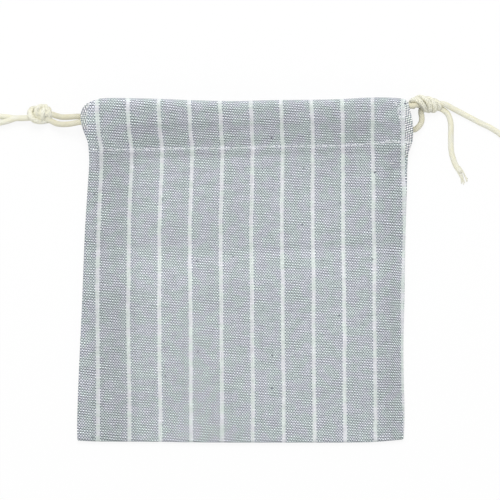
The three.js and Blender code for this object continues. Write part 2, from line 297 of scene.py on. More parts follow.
FRAYS = {
    "left_upper": Fray(reach=0.0050, spread=0.0007, seed=3, droop=0.0),
    "left_lower": Fray(reach=0.0050, spread=0.0007, seed=4, droop=0.0),
    "right_long": Fray(reach=0.0050, spread=0.0007, seed=5, droop=0.0),
    "right_short": Fray(reach=0.0058, spread=0.0005, seed=6, droop=0.45),
}
YARNS = 8  # loose yarns at a cut end
YARN_ROOT = 0.0028  # how far inside the cord they start
YARN_REST = 0.00025  # least height of their middle over the surface

# Stitch lines on the front, beside the slits and at the right end of the channel's stitching, as
# lying x and y.
LEFT_SLIT_STITCHES = [
    (-0.0617, 0.0674), (-0.0621, 0.0660), (-0.0628, 0.0635), (-0.0632, 0.0605), (-0.0630, 0.0575),
    (-0.0627, 0.0550),
]
RIGHT_SLIT_STITCHES = [
    (0.0598, 0.0676), (0.0612, 0.0650), (0.0617, 0.0620), (0.0625, 0.0595), (0.0630, 0.0550),
    (0.0632, 0.0500), (0.0631, 0.0430),
]
RIGHT_END_TACK = [
    (0.0560, 0.0515), (0.0600, 0.0516), (0.0640, 0.0511), (0.0664, 0.0510),
]

# Single stitches across: bar tacks at the feet of the slits and ticks beside the right one.
BARS = [
    [(0.0578, 0.0427), (0.0610, 0.0427)],
    [(0.0622, 0.0418), (0.0646, 0.0418)],
    [(0.0614, 0.0651), (0.0640, 0.0651)],
    [(0.0612, 0.0642), (0.0638, 0.0642)],
    [(0.0620, 0.0610), (0.0644, 0.0610)],
]


# ---- Sizes and colours that a user would change ----
def length(name, description, default, **more):
    """A length in metres that a user can change."""
    return FloatProperty(
        name=name, description=description, default=default, unit="LENGTH", precision=5, **more
    )


def colour(name, description, default):
    """A colour that a user can change, in linear red, green and blue."""
    return FloatVectorProperty(
        name=name,
        description=description,
        default=default,
        subtype="COLOR",
        size=3,
        min=0.0,
        max=1.0,
    )


class PouchClothSettings(bpy.types.PropertyGroup):
    thickness: length("Thickness", "One layer of cloth", 0.0005, min=0.0002, max=0.0009)
    warp_pitch: length("Warp pitch", "From one lengthwise thread to the next", 0.00051)
    weft_pitch: length("Weft pitch", "From one crosswise thread to the next", 0.00064)
    stripe_pitch: length("Stripe pitch", "From one white stripe to the next", 0.01224)
    stripe_width: length("Stripe width", "Width of a white stripe", 0.0014)
    row_pitch: length("Row pitch", "From one raised row of crosswise threads to the next", 0.00102)
    skew: FloatProperty(
        name="Skew",
        description="Slant of the crosswise threads, which rise towards the right below 0",
        default=-0.06,
    )
    blue: colour("Warp colour", "Lengthwise threads between the stripes", (0.235, 0.276, 0.317))
    pale: colour("Weft colour", "Crosswise threads", (0.745, 0.773, 0.785))
    white: colour("Stripe colour", "Lengthwise threads in the stripes", (0.662, 0.694, 0.690))
    columns: IntProperty(
        name="Columns", description="Points across one side", default=121, min=40, max=160
    )


class PouchStitchSettings(bpy.types.PropertyGroup):
    pitch: length("Stitch pitch", "From one stitch to the next", 0.0030)
    stitch: length("Stitch length", "Length of one stitch", 0.0026)
    thread: length("Thread", "Diameter of the sewing thread", 0.00040)
    white: colour("Thread colour", "Sewing thread", (0.80, 0.82, 0.84))


class PouchCordSettings(bpy.types.PropertyGroup):
    relief: FloatProperty(
        name="Braid relief",
        description="Height of the braid's strands as a share of the cord's radius",
        default=0.055,
        min=0.0,
        max=0.2,
    )
    strands: IntProperty(
        name="Strands", description="Strands each way round the braid", default=8, min=4, max=16
    )
    braid_step: length("Braid step", "Length of one strand's crossing along the cord", 0.0011)
    cream: colour("Cord colour", "Natural cotton cord", (0.860, 0.848, 0.708))


class PouchStageSettings(bpy.types.PropertyGroup):
    view_width: length("View width", "Width of the view at the pouch", 0.200)
    distance: length("Camera distance", "Height of the camera over the pouch", 3.0)
    sky: FloatProperty(
        name="Sky light", description="Strength of the even light", default=0.62, min=0.0
    )
    lamp: FloatProperty(
        name="Lamp", description="Power of the soft lamp overhead in watts", default=9.0, min=0.0
    )


# ---- Lines and surfaces ----
def smoothstep(value, low, high):
    """0 below low, 1 above high, and 3t² - 2t³ between them."""
    t = np.clip((value - low) / (high - low), 0.0, 1.0)
    return t * t * (3.0 - 2.0 * t)


def mix(low, high, share):
    """Low at share 0 and high at share 1, along a straight line."""
    return low + (high - low) * share


def smooth_line(at, values):
    """A function that runs smoothly through values at the places `at`.

    Between two rows it is v + rise t + t (1 - t) (leave (1 - t) + arrive t), a cubic whose slope at
    each row is that from the row before to the row after. A value may be a number or a point.
    """
    last = len(at) - 1
    before = np.maximum(np.arange(last + 1) - 1, 0)
    after = np.minimum(np.arange(last + 1) + 1, last)

    def like_values(numbers):
        return numbers.reshape(numbers.shape + (1,) * (values.ndim - 1))

    slope = (values[after] - values[before]) / like_values(at[after] - at[before])

    def line(place):
        place = np.clip(place, at[0], at[-1])
        i = np.clip(np.searchsorted(at, place, side="right") - 1, 0, last - 1)
        width = like_values(at[i + 1] - at[i])
        t = like_values(place - at[i]) / width
        rise = values[i + 1] - values[i]
        leave = slope[i] * width - rise
        arrive = rise - slope[i + 1] * width
        return values[i] + rise * t + t * (1.0 - t) * (leave * (1.0 - t) + arrive * t)

    return line


def table_lines(rows):
    """A smooth line along a table's first column for each of its other columns."""
    at, *columns = np.array(rows).T
    return [smooth_line(at, column) for column in columns]


left_edge, right_edge, middle_gap = table_lines(SECTIONS)
bottom_fold, stitch_line, top_fold = table_lines(EDGE_LINES)
stripe_lines = table_lines(STRIPES)


def lying_height(x, y):
    """The lying place of height y, stretched to the wandering fold, stitching and top at x."""
    low = bottom_fold(x) * y / BOTTOM
    middle = stitch_line(x) * y / STITCHING
    high = mix(stitch_line(x), top_fold(x), (y - STITCHING) / (TOP - STITCHING))
    return np.where(y < 0, low, np.where(y < STITCHING, middle, high))


def height_lying_at(x, place):
    """The height y whose lying place at x is `place`: lying_height turned round."""
    middle = place * STITCHING / stitch_line(x)
    share = (place - stitch_line(x)) / (top_fold(x) - stitch_line(x))
    return np.where(place < stitch_line(x), middle, mix(STITCHING, TOP, share))


def hem_step(y):
    """0 on the body and 1 from the turned-in edge up to the stitching, where the cloth is double."""
    return smoothstep(y, STITCHING - HEM - 0.001, STITCHING - HEM)


def channel_opening(y):
    """0 at the stitching and 1 from where the channel has its whole height."""
    return smoothstep(y, STITCHING, STITCHING + RAMP)


def side_thickness(y):
    """One side of the pouch in the solids: one layer, two at the hem, then the channel as well."""
    return LAYER * (1.0 + hem_step(y)) + CHANNEL * channel_opening(y)


def share_across(x, y):
    """-1 at the left seam, 1 at the right one."""
    left, right = left_edge(y), right_edge(y)
    return np.clip((2.0 * x - left - right) / (right - left), -1.0, 1.0)


def crown_at(x, y):
    """1 in the middle and 0 at the seams: (1 - a²) to the power CROWN, with a the share across."""
    return (1.0 - share_across(x, y) ** 2) ** CROWN


def gap_at(x, y):
    """The space between the sides: the middle's gap times the crown, a little uneven."""
    uneven = RIPPLE * np.sin(x / 0.011 + 0.6) * np.cos(y / 0.017 - 0.4)
    inside = middle_gap(y) - SIDE_GAP + smoothstep(y, BOTTOM, 0.0) * uneven
    return SIDE_GAP + crown_at(x, y) * inside


def front_top(x, y):
    """Height of the solids' front face."""
    return 2.0 * side_thickness(y) + gap_at(x, y)


def front_cord(x, y):
    """Middle height of a cord in the front channel."""
    return front_top(x, y) - LAYER - CHANNEL / 2


# ---- Unevenness of the cloth ----
CORD_RIDGE = 0.0622  # height from which the front cloth lies on the cords
BACK_RIDGE = 0.0562  # height from which the back channel is full of cord
BACK_WALL = 0.00365  # from the back's outer layer to its inner wall, over its cords
FRONT_REST = 0.0605  # height from which the front rests on the full back channel
GROOVE = 0.00022  # depth of the groove along the stitching
PUCKER = 0.00007  # height of one of the stitching's three waves
SWELL = 0.00007  # height of one of the front's long waves
SLIT_PULL = 0.00030  # depth of the troughs below the slits
BELLY = 0.0014  # space that the two sides keep between them above the stitching
TURNED = 0.0068  # width of the side edges' turned-in strips
TURNED_COLUMNS = 6  # columns of points over each turned-in strip
TOUCH = 0.00002  # room between two layers of cloth that lie on each other
TOP_FOLD = TOP - 0.0017  # height at which the cloth starts to turn over at the top
BOTTOM_FOLD = BOTTOM + 0.0011  # height at which it starts to turn up at the bottom
FOLD_POWER = 0.85  # squareness of the folds, where 1 is a half ellipse


def channel_slack(y):
    """How far the front sinks where its channel is empty, between the stitching and the cords."""
    return CHANNEL * (channel_opening(y) - smoothstep(y, STITCHING - 0.0004, CORD_RIDGE))


def back_slack(x, y):
    """How far both walls of the front sink towards the back channel, less the belly: a bell above
    the stitching that closes towards the seams as the gap does."""
    away = (y - 0.0528) / 0.0026
    belly = BELLY * np.exp(-away * away) * crown_at(x, y)
    return CHANNEL * (channel_opening(y) - smoothstep(y, STITCHING, FRONT_REST)) - belly


def stitch_dip(x, y):
    """The groove and puckers along the stitching.

    The groove is a bell. The puckers are three sines of unlike length along the stitching, up to
    0.17 mm high, which fade within a few millimetres on both sides of it.
    """
    away = (y - STITCHING) / 0.0009
    groove = -GROOVE * np.exp(-away * away)
    beat = (
        np.sin(x / 0.00115 + 0.7)
        + 0.8 * np.sin(x / 0.00172 + 2.1)
        + 0.7 * np.sin(x / 0.00061 + 1.3)
    )
    return groove + PUCKER * beat * np.exp(-np.abs(y - STITCHING) / 0.0032)


def hem_slack(y):
    """How far the real hem lies under the solids' one: its step runs out over 11 mm."""
    return 2.0 * LAYER * (hem_step(y) - smoothstep(y, 0.0385, STITCHING))


def slow_swells(x, y):
    """Shallow swells of the front: a sum of long waves in seeded directions, flat at the edges."""
    rng = np.random.default_rng(11)
    total = np.zeros(np.broadcast(x, y).shape)
    for _ in range(7):
        heading = rng.uniform(0.0, math.pi)
        wavelength = rng.uniform(0.020, 0.055)
        phase = rng.uniform(0.0, 2.0 * math.pi)
        run = x * math.cos(heading) + y * math.sin(heading)
        total += np.sin(2.0 * math.pi * run / wavelength + phase)
    sides = 1.0 - share_across(x, y) ** 4
    ends = smoothstep(y, BOTTOM, BOTTOM + 0.020) * (1.0 - smoothstep(y, 0.040, STITCHING))
    return SWELL * total * sides * ends


def slit_pulls(x, y):
    """Soft troughs that run down from the foot of each slit, a little slanted: a bell across, which
    widens on the way down."""
    depth = np.zeros(np.broadcast(x, y).shape)
    feet = ((left_edge(SLIT_FOOT) + 0.004, 0.45), (right_edge(SLIT_FOOT) - 0.004, -0.35))
    for foot, lean in feet:
        down = SLIT_FOOT - y
        aside = (x - foot - lean * down) / (0.0016 + 0.10 * np.abs(down))
        fade = smoothstep(down, -0.004, 0.002) * (1.0 - smoothstep(down, 0.004, 0.026))
        depth += np.exp(-aside * aside) * fade
    return -SLIT_PULL * depth


def front_cloth(x, y, thickness):
    """Middle height of the front's outer layer."""
    uneven = stitch_dip(x, y) + slow_swells(x, y) + slit_pulls(x, y)
    slack = channel_slack(y) + back_slack(x, y) + hem_slack(y)
    return front_top(x, y) - thickness / 2 - slack + uneven


def back_cloth(x, y, thickness):
    """Middle height of the back's outer layer, which only ever rises from the surface."""
    lift = np.maximum(-1.4 * stitch_dip(x, y), 0.0)
    return thickness / 2 + lift


def wall_depth(x, y, thickness, across, full_at):
    """How far the inner wall lies from the outer layer: beside it at the hem, where the turned-in
    strips of both lie between them at the sides, and `across` it in the channel."""
    from_side = np.minimum(x - left_edge(y), right_edge(y) - x)
    strips = 2.0 * (1.0 - smoothstep(from_side, TURNED, TURNED + 0.003))
    beside = (1.0 + strips) * (thickness + TOUCH)
    return mix(beside, across, smoothstep(y, STITCHING, full_at))


# ---- Meshes ----
class Part(NamedTuple):
    """Vertices as an (n, 3) array, with lists of face arrays and of their corner coordinates."""

    vertices: np.ndarray
    faces: list
    corners: list


def joined(parts):
    """One part out of many: their vertices end to end, with the face numbers moved along."""
    offsets = np.cumsum([0] + [len(part.vertices) for part in parts[:-1]])
    faces = [face + offset for part, offset in zip(parts, offsets) for face in part.faces]
    corners = [corner for part in parts for corner in part.corners]
    return Part(np.concatenate([part.vertices for part in parts]), faces, corners)


def add_mesh(name, part, material, **point_values):
    """Puts a part into a smooth-shaded mesh object at the origin, with its map and any values that
    its points carry."""
    mesh = bpy.data.meshes.new(name)
    faces = [face for block in part.faces for face in block.tolist()]
    mesh.from_pydata(part.vertices.tolist(), [], faces)
    layer = mesh.uv_layers.new(name="lay")
    corners = np.concatenate([block.reshape(-1, 2) for block in part.corners])
    layer.data.foreach_set("uv", corners.ravel().astype(np.float32))
    for value_name, values in point_values.items():
        attribute = mesh.attributes.new(value_name, "FLOAT", "POINT")
        attribute.data.foreach_set("value", values.ravel().astype(np.float32))
    mesh.polygons.foreach_set("use_smooth", np.ones(len(mesh.polygons), bool))
    mesh.materials.append(material)
    mesh.validate()
    mesh.update()
    piece = bpy.data.objects.new(name, mesh)
    bpy.context.scene.collection.objects.link(piece)
    return piece


def add_piece(name, part, material, slot, nodes=(), **point_values):
    """A piece that lies still with the pouch and stands for the named nodes, if there are any."""
    piece = add_mesh(name, part, material, **point_values)
    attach(piece, "root")
    if nodes:
        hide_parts(*nodes)
    return piece


def grid_part(points, map_points):
    """A sheet over a grid of points (rows, columns, 3), with faces between neighbours."""
    rows, columns = points.shape[:2]
    number = np.arange(rows * columns).reshape(rows, columns)
    faces = np.stack(
        [number[:-1, :-1], number[1:, :-1], number[1:, 1:], number[:-1, 1:]], axis=-1
    ).reshape(-1, 4)
    flat_map = map_points.reshape(-1, 2)
    return Part(points.reshape(-1, 3), [faces], [flat_map[faces]])


def path_run(points):
    """Distance along a line of points, from its first point to each."""
    steps = np.linalg.norm(np.diff(points, axis=0), axis=1)
    return np.concatenate([[0.0], np.cumsum(steps)])


def smooth_path(points, step):
    """Evenly spaced points along a smooth line through `points`, with their distances along it."""
    points = np.array(points, float)
    fine_line = smooth_line(path_run(points), points)
    fine = fine_line(np.linspace(0.0, path_run(points)[-1], 60 * len(points)))
    run = path_run(fine)
    along = np.linspace(0.0, run[-1], max(6, round(run[-1] / step)) + 1)
    line = np.stack([np.interp(along, run, fine[:, axis]) for axis in range(3)], axis=1)
    return line, along


def unit(vectors):
    """The same directions at length one."""
    return vectors / np.linalg.norm(vectors, axis=-1, keepdims=True)


def upright(directions, tangents):
    """The part of each direction that is square to the tangent beside it, at length one."""
    return unit(directions - np.sum(directions * tangents, axis=-1, keepdims=True) * tangents)


def carried_frame(tangents):
    """A direction square to each tangent, carried along the line with no twist of its own."""
    first = np.array([0.0, 0.0, 1.0]) if abs(tangents[0, 2]) < 0.9 else np.array([0.0, 1.0, 0.0])
    carried = [upright(first, tangents[0])]
    for tangent in tangents[1:]:
        carried.append(upright(carried[-1], tangent))
    return np.array(carried)


def braid(around, along, strands, step):
    """Height of the braid, 0 to 1: two families of strands wind round against each other, and the
    one on top changes from crossing to crossing."""
    a = strands * around + along / step
    b = strands * around - along / step
    over = 0.5 * np.cos(math.pi * (b - 0.5 + np.floor(a))) + 0.6 * np.sin(math.pi * (a % 1.0))
    under = -0.5 * np.cos(math.pi * (a - 0.5 + np.floor(b))) + 0.6 * np.sin(math.pi * (b % 1.0))
    return np.maximum(over, under) / 1.1


def ring_part(points, along, girth):
    """A closed skin over rings of points (rows, sides, 3), with a flat face over each end ring.

    The map runs round by the girth and along by the rings' distances. The faces point outwards
    where a ring turns from N to T x N, with T the way along.
    """
    rows, sides = points.shape[:2]
    row, column = np.meshgrid(np.arange(rows - 1), np.arange(sides), indexing="ij")
    beside = (column + 1) % sides
    this, following = row * sides, (row + 1) * sides
    faces = [this + column, this + beside, following + beside, following + column]
    around = [column, column + 1, column + 1, column]
    run = [along[row], along[row], along[row + 1], along[row + 1]]
    corners = np.stack([np.stack(around, axis=-1) / sides * girth, np.stack(run, axis=-1)], axis=-1)
    number = np.arange(sides)
    ends = np.stack([number[::-1], (rows - 1) * sides + number])
    end_map = np.stack([number / sides * girth, np.zeros(sides)], axis=-1)
    return Part(
        points.reshape(-1, 3),
        [np.stack(faces, axis=-1).reshape(-1, 4), ends],
        [corners.reshape(-1, 4, 2), np.stack([end_map, end_map])],
    )


def tube(line, along, radius, sides, outward=None, squash=1.0, relief=None, blunt=0.35):
    """A round cord along a line: P = C(s) + r (squash N cos t + B sin t).

    N is `outward` made square to the line, or a direction carried along it, and B is square to both.
    r is the radius, raised by the braid, and it closes at both ends as a quarter circle down to
    `blunt` of itself, where a flat face ends the cord.
    """
    tangents = unit(np.gradient(line, axis=0))
    normals = carried_frame(tangents) if outward is None else upright(outward, tangents)
    sideways = np.cross(tangents, normals)
    around = np.arange(sides) / sides
    angle = 2.0 * math.pi * around
    from_end = np.clip(np.minimum(along, along[-1] - along) / radius, 0.0, 1.0)
    closing = np.maximum(np.sqrt(1.0 - (1.0 - from_end) ** 2), blunt)
    r = radius * closing[:, None] * np.ones(sides)
    if relief is not None:
        share, strands, step = relief
        r = r * (1.0 - share + share * braid(around[None, :], along[:, None], strands, step))
    ring = (
        squash * np.cos(angle)[None, :, None] * normals[:, None, :]
        + np.sin(angle)[None, :, None] * sideways[:, None, :]
    )
    points = line[:, None, :] + r[:, :, None] * ring
    return ring_part(points, along, 2.0 * math.pi * radius)


# ---- Node trees ----
class Graph:
    """A short way to write a node tree: each call adds a node and gives its output."""

    def __init__(self, tree):
        self.tree = tree

    def node(self, kind):
        return self.tree.nodes.new("ShaderNode" + kind)

    def feed(self, socket, value):
        """Links a socket to another node's output, or sets it to a number, a place or a colour."""
        if isinstance(value, bpy.types.NodeSocket):
            self.tree.links.new(value, socket)
        elif socket.type == "RGBA":
            socket.default_value = (*value, 1.0)
        else:
            socket.default_value = value

    def math(self, operation, *values):
        node = self.node("Math")
        node.operation = operation
        for socket, value in zip(node.inputs, values):
            self.feed(socket, value)
        return node.outputs[0]

    def plus(self, first, second):
        return self.math("ADD", first, second)

    def minus(self, first, second):
        return self.math("SUBTRACT", first, second)

    def times(self, first, second):
        return self.math("MULTIPLY", first, second)

    def over(self, first, second):
        return self.math("DIVIDE", first, second)

    def line(self, value, gain, base):
        """The value times the gain, plus the base."""
        return self.math("MULTIPLY_ADD", value, gain, base)

    def blend(self, share, first, second, kind="MIX"):
        node = self.node("Mix")
        node.data_type = "RGBA"
        node.blend_type = kind
        self.feed(node.inputs["Factor"], share)
        self.feed(node.inputs["A"], first)
        self.feed(node.inputs["B"], second)
        return node.outputs["Result"]

    def tinted(self, colour_socket, tint):
        """A colour times a colour."""
        return self.blend(1.0, colour_socket, tint, "MULTIPLY")

    def scaled(self, colour_socket, factor):
        """A colour times a number."""
        grey = self.node("CombineColor")
        for socket in grey.inputs:
            self.feed(socket, factor)
        return self.tinted(colour_socket, grey.outputs[0])

    def vector(self, x, y):
        node = self.node("CombineXYZ")
        self.feed(node.inputs[0], x)
        self.feed(node.inputs[1], y)
        return node.outputs[0]

    def parts(self, vector):
        node = self.node("SeparateXYZ")
        self.feed(node.inputs[0], vector)
        return node.outputs[0], node.outputs[1]

    def noise(self, vector, size, detail=2.0, roughness=0.5):
        """Soft noise whose lumps are about `size` apart, as a number and as a colour."""
        node = self.node("TexNoise")
        self.feed(node.inputs["Vector"], vector)
        node.inputs["Scale"].default_value = 1.0 / size
        node.inputs["Detail"].default_value = detail
        node.inputs["Roughness"].default_value = roughness
        return node.outputs["Fac"], node.outputs["Color"]

    def random(self, vector):
        node = self.node("TexWhiteNoise")
        self.feed(node.inputs["Vector"], vector)
        return node.outputs["Value"]

    def between(self, value, low, high, low_to=0.0, high_to=1.0, smooth=True):
        """Maps low..high to low_to..high_to, held at both ends."""
        node = self.node("MapRange")
        node.interpolation_type = "SMOOTHSTEP" if smooth else "LINEAR"
        names = ("Value", "From Min", "From Max", "To Min", "To Max")
        for name, number in zip(names, (value, low, high, low_to, high_to)):
            self.feed(node.inputs[name], number)
        return node.outputs["Result"]

    def lay(self):
        """The piece's own flat map, in metres."""
        node = self.node("UVMap")
        node.uv_map = "lay"
        return node.outputs[0]

    def attribute(self, name):
        node = self.node("Attribute")
        node.attribute_name = name
        return node.outputs["Fac"]

    def group(self, group, **values):
        node = self.node("Group")
        node.node_tree = group
        for name, value in values.items():
            self.feed(node.inputs[name.replace("_", " ")], value)
        return node.outputs

    def bump(self, height, distance, strength):
        node = self.node("Bump")
        node.inputs["Distance"].default_value = distance
        node.inputs["Strength"].default_value = strength
        self.feed(node.inputs["Height"], height)
        return node.outputs[0]


def new_group(name, inputs, outputs):
    """An empty node group with the named sockets, as its graph with its input and output nodes."""
    tree = bpy.data.node_groups.new(name, "ShaderNodeTree")
    for direction, sockets in (("INPUT", inputs), ("OUTPUT", outputs)):
        for socket, kind in sockets.items():
            tree.interface.new_socket(socket, in_out=direction, socket_type="NodeSocket" + kind)
    entry = tree.nodes.new("NodeGroupInput")
    leave = tree.nodes.new("NodeGroupOutput")
    return tree, Graph(tree), entry.outputs, leave.inputs


def plain_weave():
    """Threads crossing one over one, from a place counted in threads both ways.

    Each thread is a rounded ridge that also rises and sinks by half a wave at every crossing, so the
    higher of the two shows. The group gives its height, which thread is on top, and both numbers.
    """
    made = bpy.data.node_groups.get("Plain Weave")
    if made:
        return made
    tree, graph, entry, leave = new_group(
        "Plain Weave",
        {"Threads": "Vector"},
        {"Height": "Float", "Warp On Top": "Float", "Warp Number": "Float", "Weft Number": "Float"},
    )
    a, b = graph.parts(entry["Threads"])
    warp_number = graph.math("FLOOR", a)
    weft_number = graph.math("FLOOR", b)

    def ridge(place, other, number, sign):
        wave = graph.plus(graph.minus(other, 0.5), number)
        rise = graph.times(graph.math("COSINE", graph.times(wave, math.pi)), sign)
        bulge = graph.math("SINE", graph.times(graph.math("FRACT", place), math.pi))
        return graph.line(bulge, 0.6, rise)

    warp = ridge(a, b, warp_number, 0.5)
    weft = ridge(b, a, weft_number, -0.5)
    graph.feed(leave["Height"], graph.over(graph.math("MAXIMUM", warp, weft), 1.1))
    graph.feed(leave["Warp On Top"], graph.between(graph.minus(warp, weft), -0.2, 0.2))
    graph.feed(leave["Warp Number"], warp_number)
    graph.feed(leave["Weft Number"], weft_number)
    return tree


def yarn_shade():
    """Uneven spinning: long slubs along a thread and a shade of each thread's own, around 1."""
    made = bpy.data.node_groups.get("Yarn Shade")
    if made:
        return made
    inputs = ("Number", "Along", "Slub Length", "Slub", "Own")
    tree, graph, entry, leave = new_group(
        "Yarn Shade", {name: "Float" for name in inputs}, {"Shade": "Float"}
    )
    number = entry["Number"]
    own = graph.random(graph.vector(number, 3.7))
    stretched = graph.over(entry["Along"], entry["Slub Length"])
    slub, _ = graph.noise(graph.vector(stretched, graph.times(number, 7.31)), 1.0, 3.0)
    own_part = graph.times(graph.minus(own, 0.5), entry["Own"])
    slub_part = graph.times(graph.minus(slub, 0.5), entry["Slub"])
    graph.feed(leave["Shade"], graph.plus(graph.plus(own_part, slub_part), 1.0))
    return tree


def new_material(name):
    """A material with a Principled BSDF, as the material, its graph and the shader's inputs."""
    material = bpy.data.materials.new(name)
    material.use_nodes = True
    shader = material.node_tree.nodes["Principled BSDF"]
    return material, Graph(material.node_tree), shader.inputs


# How the threads of the cloth wander: the size of each drift and how far it carries a thread.
THREAD_DRIFTS = ((0.0060, 0.00040), (0.0020, 0.00025), (0.030, 0.0007))
LEFT_ROLL_TURN = -1.05  # slope of the threads on the rolled ends of the channel, in radians
RIGHT_ROLL_TURN = 0.56


def wandering_threads(graph, place, skew):
    """The flat map with the crosswise threads risen by the skew and both ways drifting, so that no
    thread runs quite straight."""
    u, v = graph.parts(place)
    v = graph.line(u, skew, v)
    for size, reach in THREAD_DRIFTS:
        _, drift = graph.noise(place, size, 1.0)
        drift_u, drift_v = graph.parts(drift)
        u = graph.line(graph.minus(drift_u, 0.5), reach, u)
        v = graph.line(graph.minus(drift_v, 0.5), reach, v)
    return u, v


def turned_threads(graph, u, v, left_roll, right_roll):
    """The same place, turned about the map's origin on the rolled ends of the channel."""
    heading = graph.line(right_roll, RIGHT_ROLL_TURN, graph.times(left_roll, LEFT_ROLL_TURN))
    cosine, sine = graph.math("COSINE", heading), graph.math("SINE", heading)
    across = graph.line(u, cosine, graph.times(v, sine))
    return across, graph.minus(graph.times(v, cosine), graph.times(u, sine))


def stripe_mask(graph, warp_number, settings):
    """1 on the lengthwise threads whose middle lies in a white stripe."""
    middle = graph.times(warp_number, settings.warp_pitch)
    turns = graph.math("FRACT", graph.plus(graph.over(middle, settings.stripe_pitch), 0.5))
    aside = graph.times(graph.math("ABSOLUTE", graph.minus(turns, 0.5)), settings.stripe_pitch)
    return graph.math("LESS_THAN", aside, settings.stripe_width / 2)


def thread_colours(graph, weave, u, v, stripe, settings):
    """The colour of the thread on top: blue or white lengthwise, pale crosswise."""

    def shade(number, along, own):
        values = {"Number": weave[number], "Along": along, "Own": own}
        return graph.group(yarn_shade(), **values, Slub_Length=0.004, Slub=0.65)["Shade"]

    warp_shade = shade("Warp Number", v, 0.20)
    weft_shade = shade("Weft Number", u, 0.10)
    blue, white = graph.scaled(settings.blue, warp_shade), graph.scaled(settings.white, warp_shade)
    warp = graph.blend(stripe, blue, white)
    return graph.blend(weave["Warp On Top"], graph.scaled(settings.pale, weft_shade), warp)


def weave_tone(graph, place, weave, stripe):
    """Brightness around 1: each crossing's own, painted shade that darkens the dips between threads,
    less so in the stripes, and soft clouds."""
    crossing = graph.random(graph.vector(weave["Warp Number"], weave["Weft Number"]))
    crossing_tone = graph.line(crossing, 0.10, 0.95)
    # Painted shade in the dips between threads, softened in the stripes.
    painted_crevice_shade = graph.between(weave["Height"], 0.2, 0.8, 0.77, 0.975)
    softened = graph.line(graph.times(stripe, 0.68), graph.minus(1.0, painted_crevice_shade), painted_crevice_shade)
    cloud, _ = graph.noise(place, 0.022, 3.0)
    return graph.times(graph.times(crossing_tone, softened), graph.line(cloud, 0.14, 0.954))


def raised_rows(graph, u, v, stripe, settings):
    """Brightness around 1 of the raised crosswise rows: a sine down the cloth that leans a little,
    stronger in patches and faint in the stripes."""
    lean = graph.line(u, 0.155, v)
    beat = graph.math("SINE", graph.times(lean, 2.0 * math.pi / settings.row_pitch))
    patch, _ = graph.noise(graph.vector(u, graph.times(v, 1.6)), 0.0055, 2.0)
    depth = graph.times(graph.between(patch, 0.30, 0.70, 0.35, 1.3), graph.attribute("rows"))
    return graph.line(beat, graph.times(depth, graph.line(stripe, -0.85, 1.0)), 1.0)


def dark_flecks(graph, place):
    """Strength of the dark seed flecks: a small spot in about one cell out of five, each as dark as
    its own random number says."""
    cells = graph.node("TexVoronoi")
    cells.voronoi_dimensions = "2D"
    cells.inputs["Scale"].default_value = 1.0 / 0.014
    graph.feed(cells.inputs["Vector"], place)
    chosen, strength = graph.parts(cells.outputs["Color"])
    round_spot = graph.between(cells.outputs["Distance"], 0.018, 0.040, 1.0, 0.0)
    spot = graph.times(round_spot, graph.math("GREATER_THAN", chosen, 0.81))
    return graph.times(spot, graph.line(strength, 0.5, 0.45))


def striped_cotton(settings):
    """Chambray: blue-grey warp over a pale weft, with white warp threads in the stripes. Where the
    cloth rolls over at the ends of the channel, it has no stripe and is a little less blue."""
    material, graph, shader = new_material("striped cotton")
    place = graph.lay()
    rolls = (graph.attribute("left_roll"), graph.attribute("right_roll"))
    left_roll, right_roll = (graph.math("GREATER_THAN", roll, 0.0) for roll in rolls)
    straight = graph.minus(1.0, graph.math("MAXIMUM", left_roll, right_roll))
    u, v = wandering_threads(graph, place, settings.skew)
    u, v = turned_threads(graph, u, v, left_roll, right_roll)
    threads = graph.vector(graph.over(u, settings.warp_pitch), graph.over(v, settings.weft_pitch))
    weave = graph.group(plain_weave(), Threads=threads)
    stripe = graph.times(stripe_mask(graph, weave["Warp Number"], settings), straight)

    tone = weave_tone(graph, place, weave, stripe)
    tone = graph.times(tone, raised_rows(graph, u, v, stripe, settings))
    cloth = thread_colours(graph, weave, u, v, stripe, settings)
    # The tone attribute carries the cloth's painted light and shade.
    cloth = graph.scaled(cloth, graph.times(tone, graph.attribute("tone")))
    hue, _ = graph.noise(place, 0.0045, 1.0)
    green, violet = (0.968, 1.018, 0.976), (1.020, 0.990, 1.034)
    cloth = graph.tinted(cloth, graph.blend(graph.between(hue, 0.36, 0.64), green, violet))
    cloth = graph.tinted(cloth, graph.blend(straight, (1.04, 1.0, 0.965), (1.0, 1.0, 1.0)))
    cloth = graph.blend(dark_flecks(graph, place), cloth, (0.13, 0.14, 0.17))

    graph.feed(shader["Base Color"], cloth)
    shader["Roughness"].default_value = 0.92
    shader["Specular IOR Level"].default_value = 0.25
    shader["Sheen Weight"].default_value = 0.06
    fibre, _ = graph.noise(place, 0.00012, 2.0)
    height = graph.line(fibre, 0.25, weave["Height"])
    graph.feed(shader["Normal"], graph.bump(height, 0.00016, 0.5))
    return material


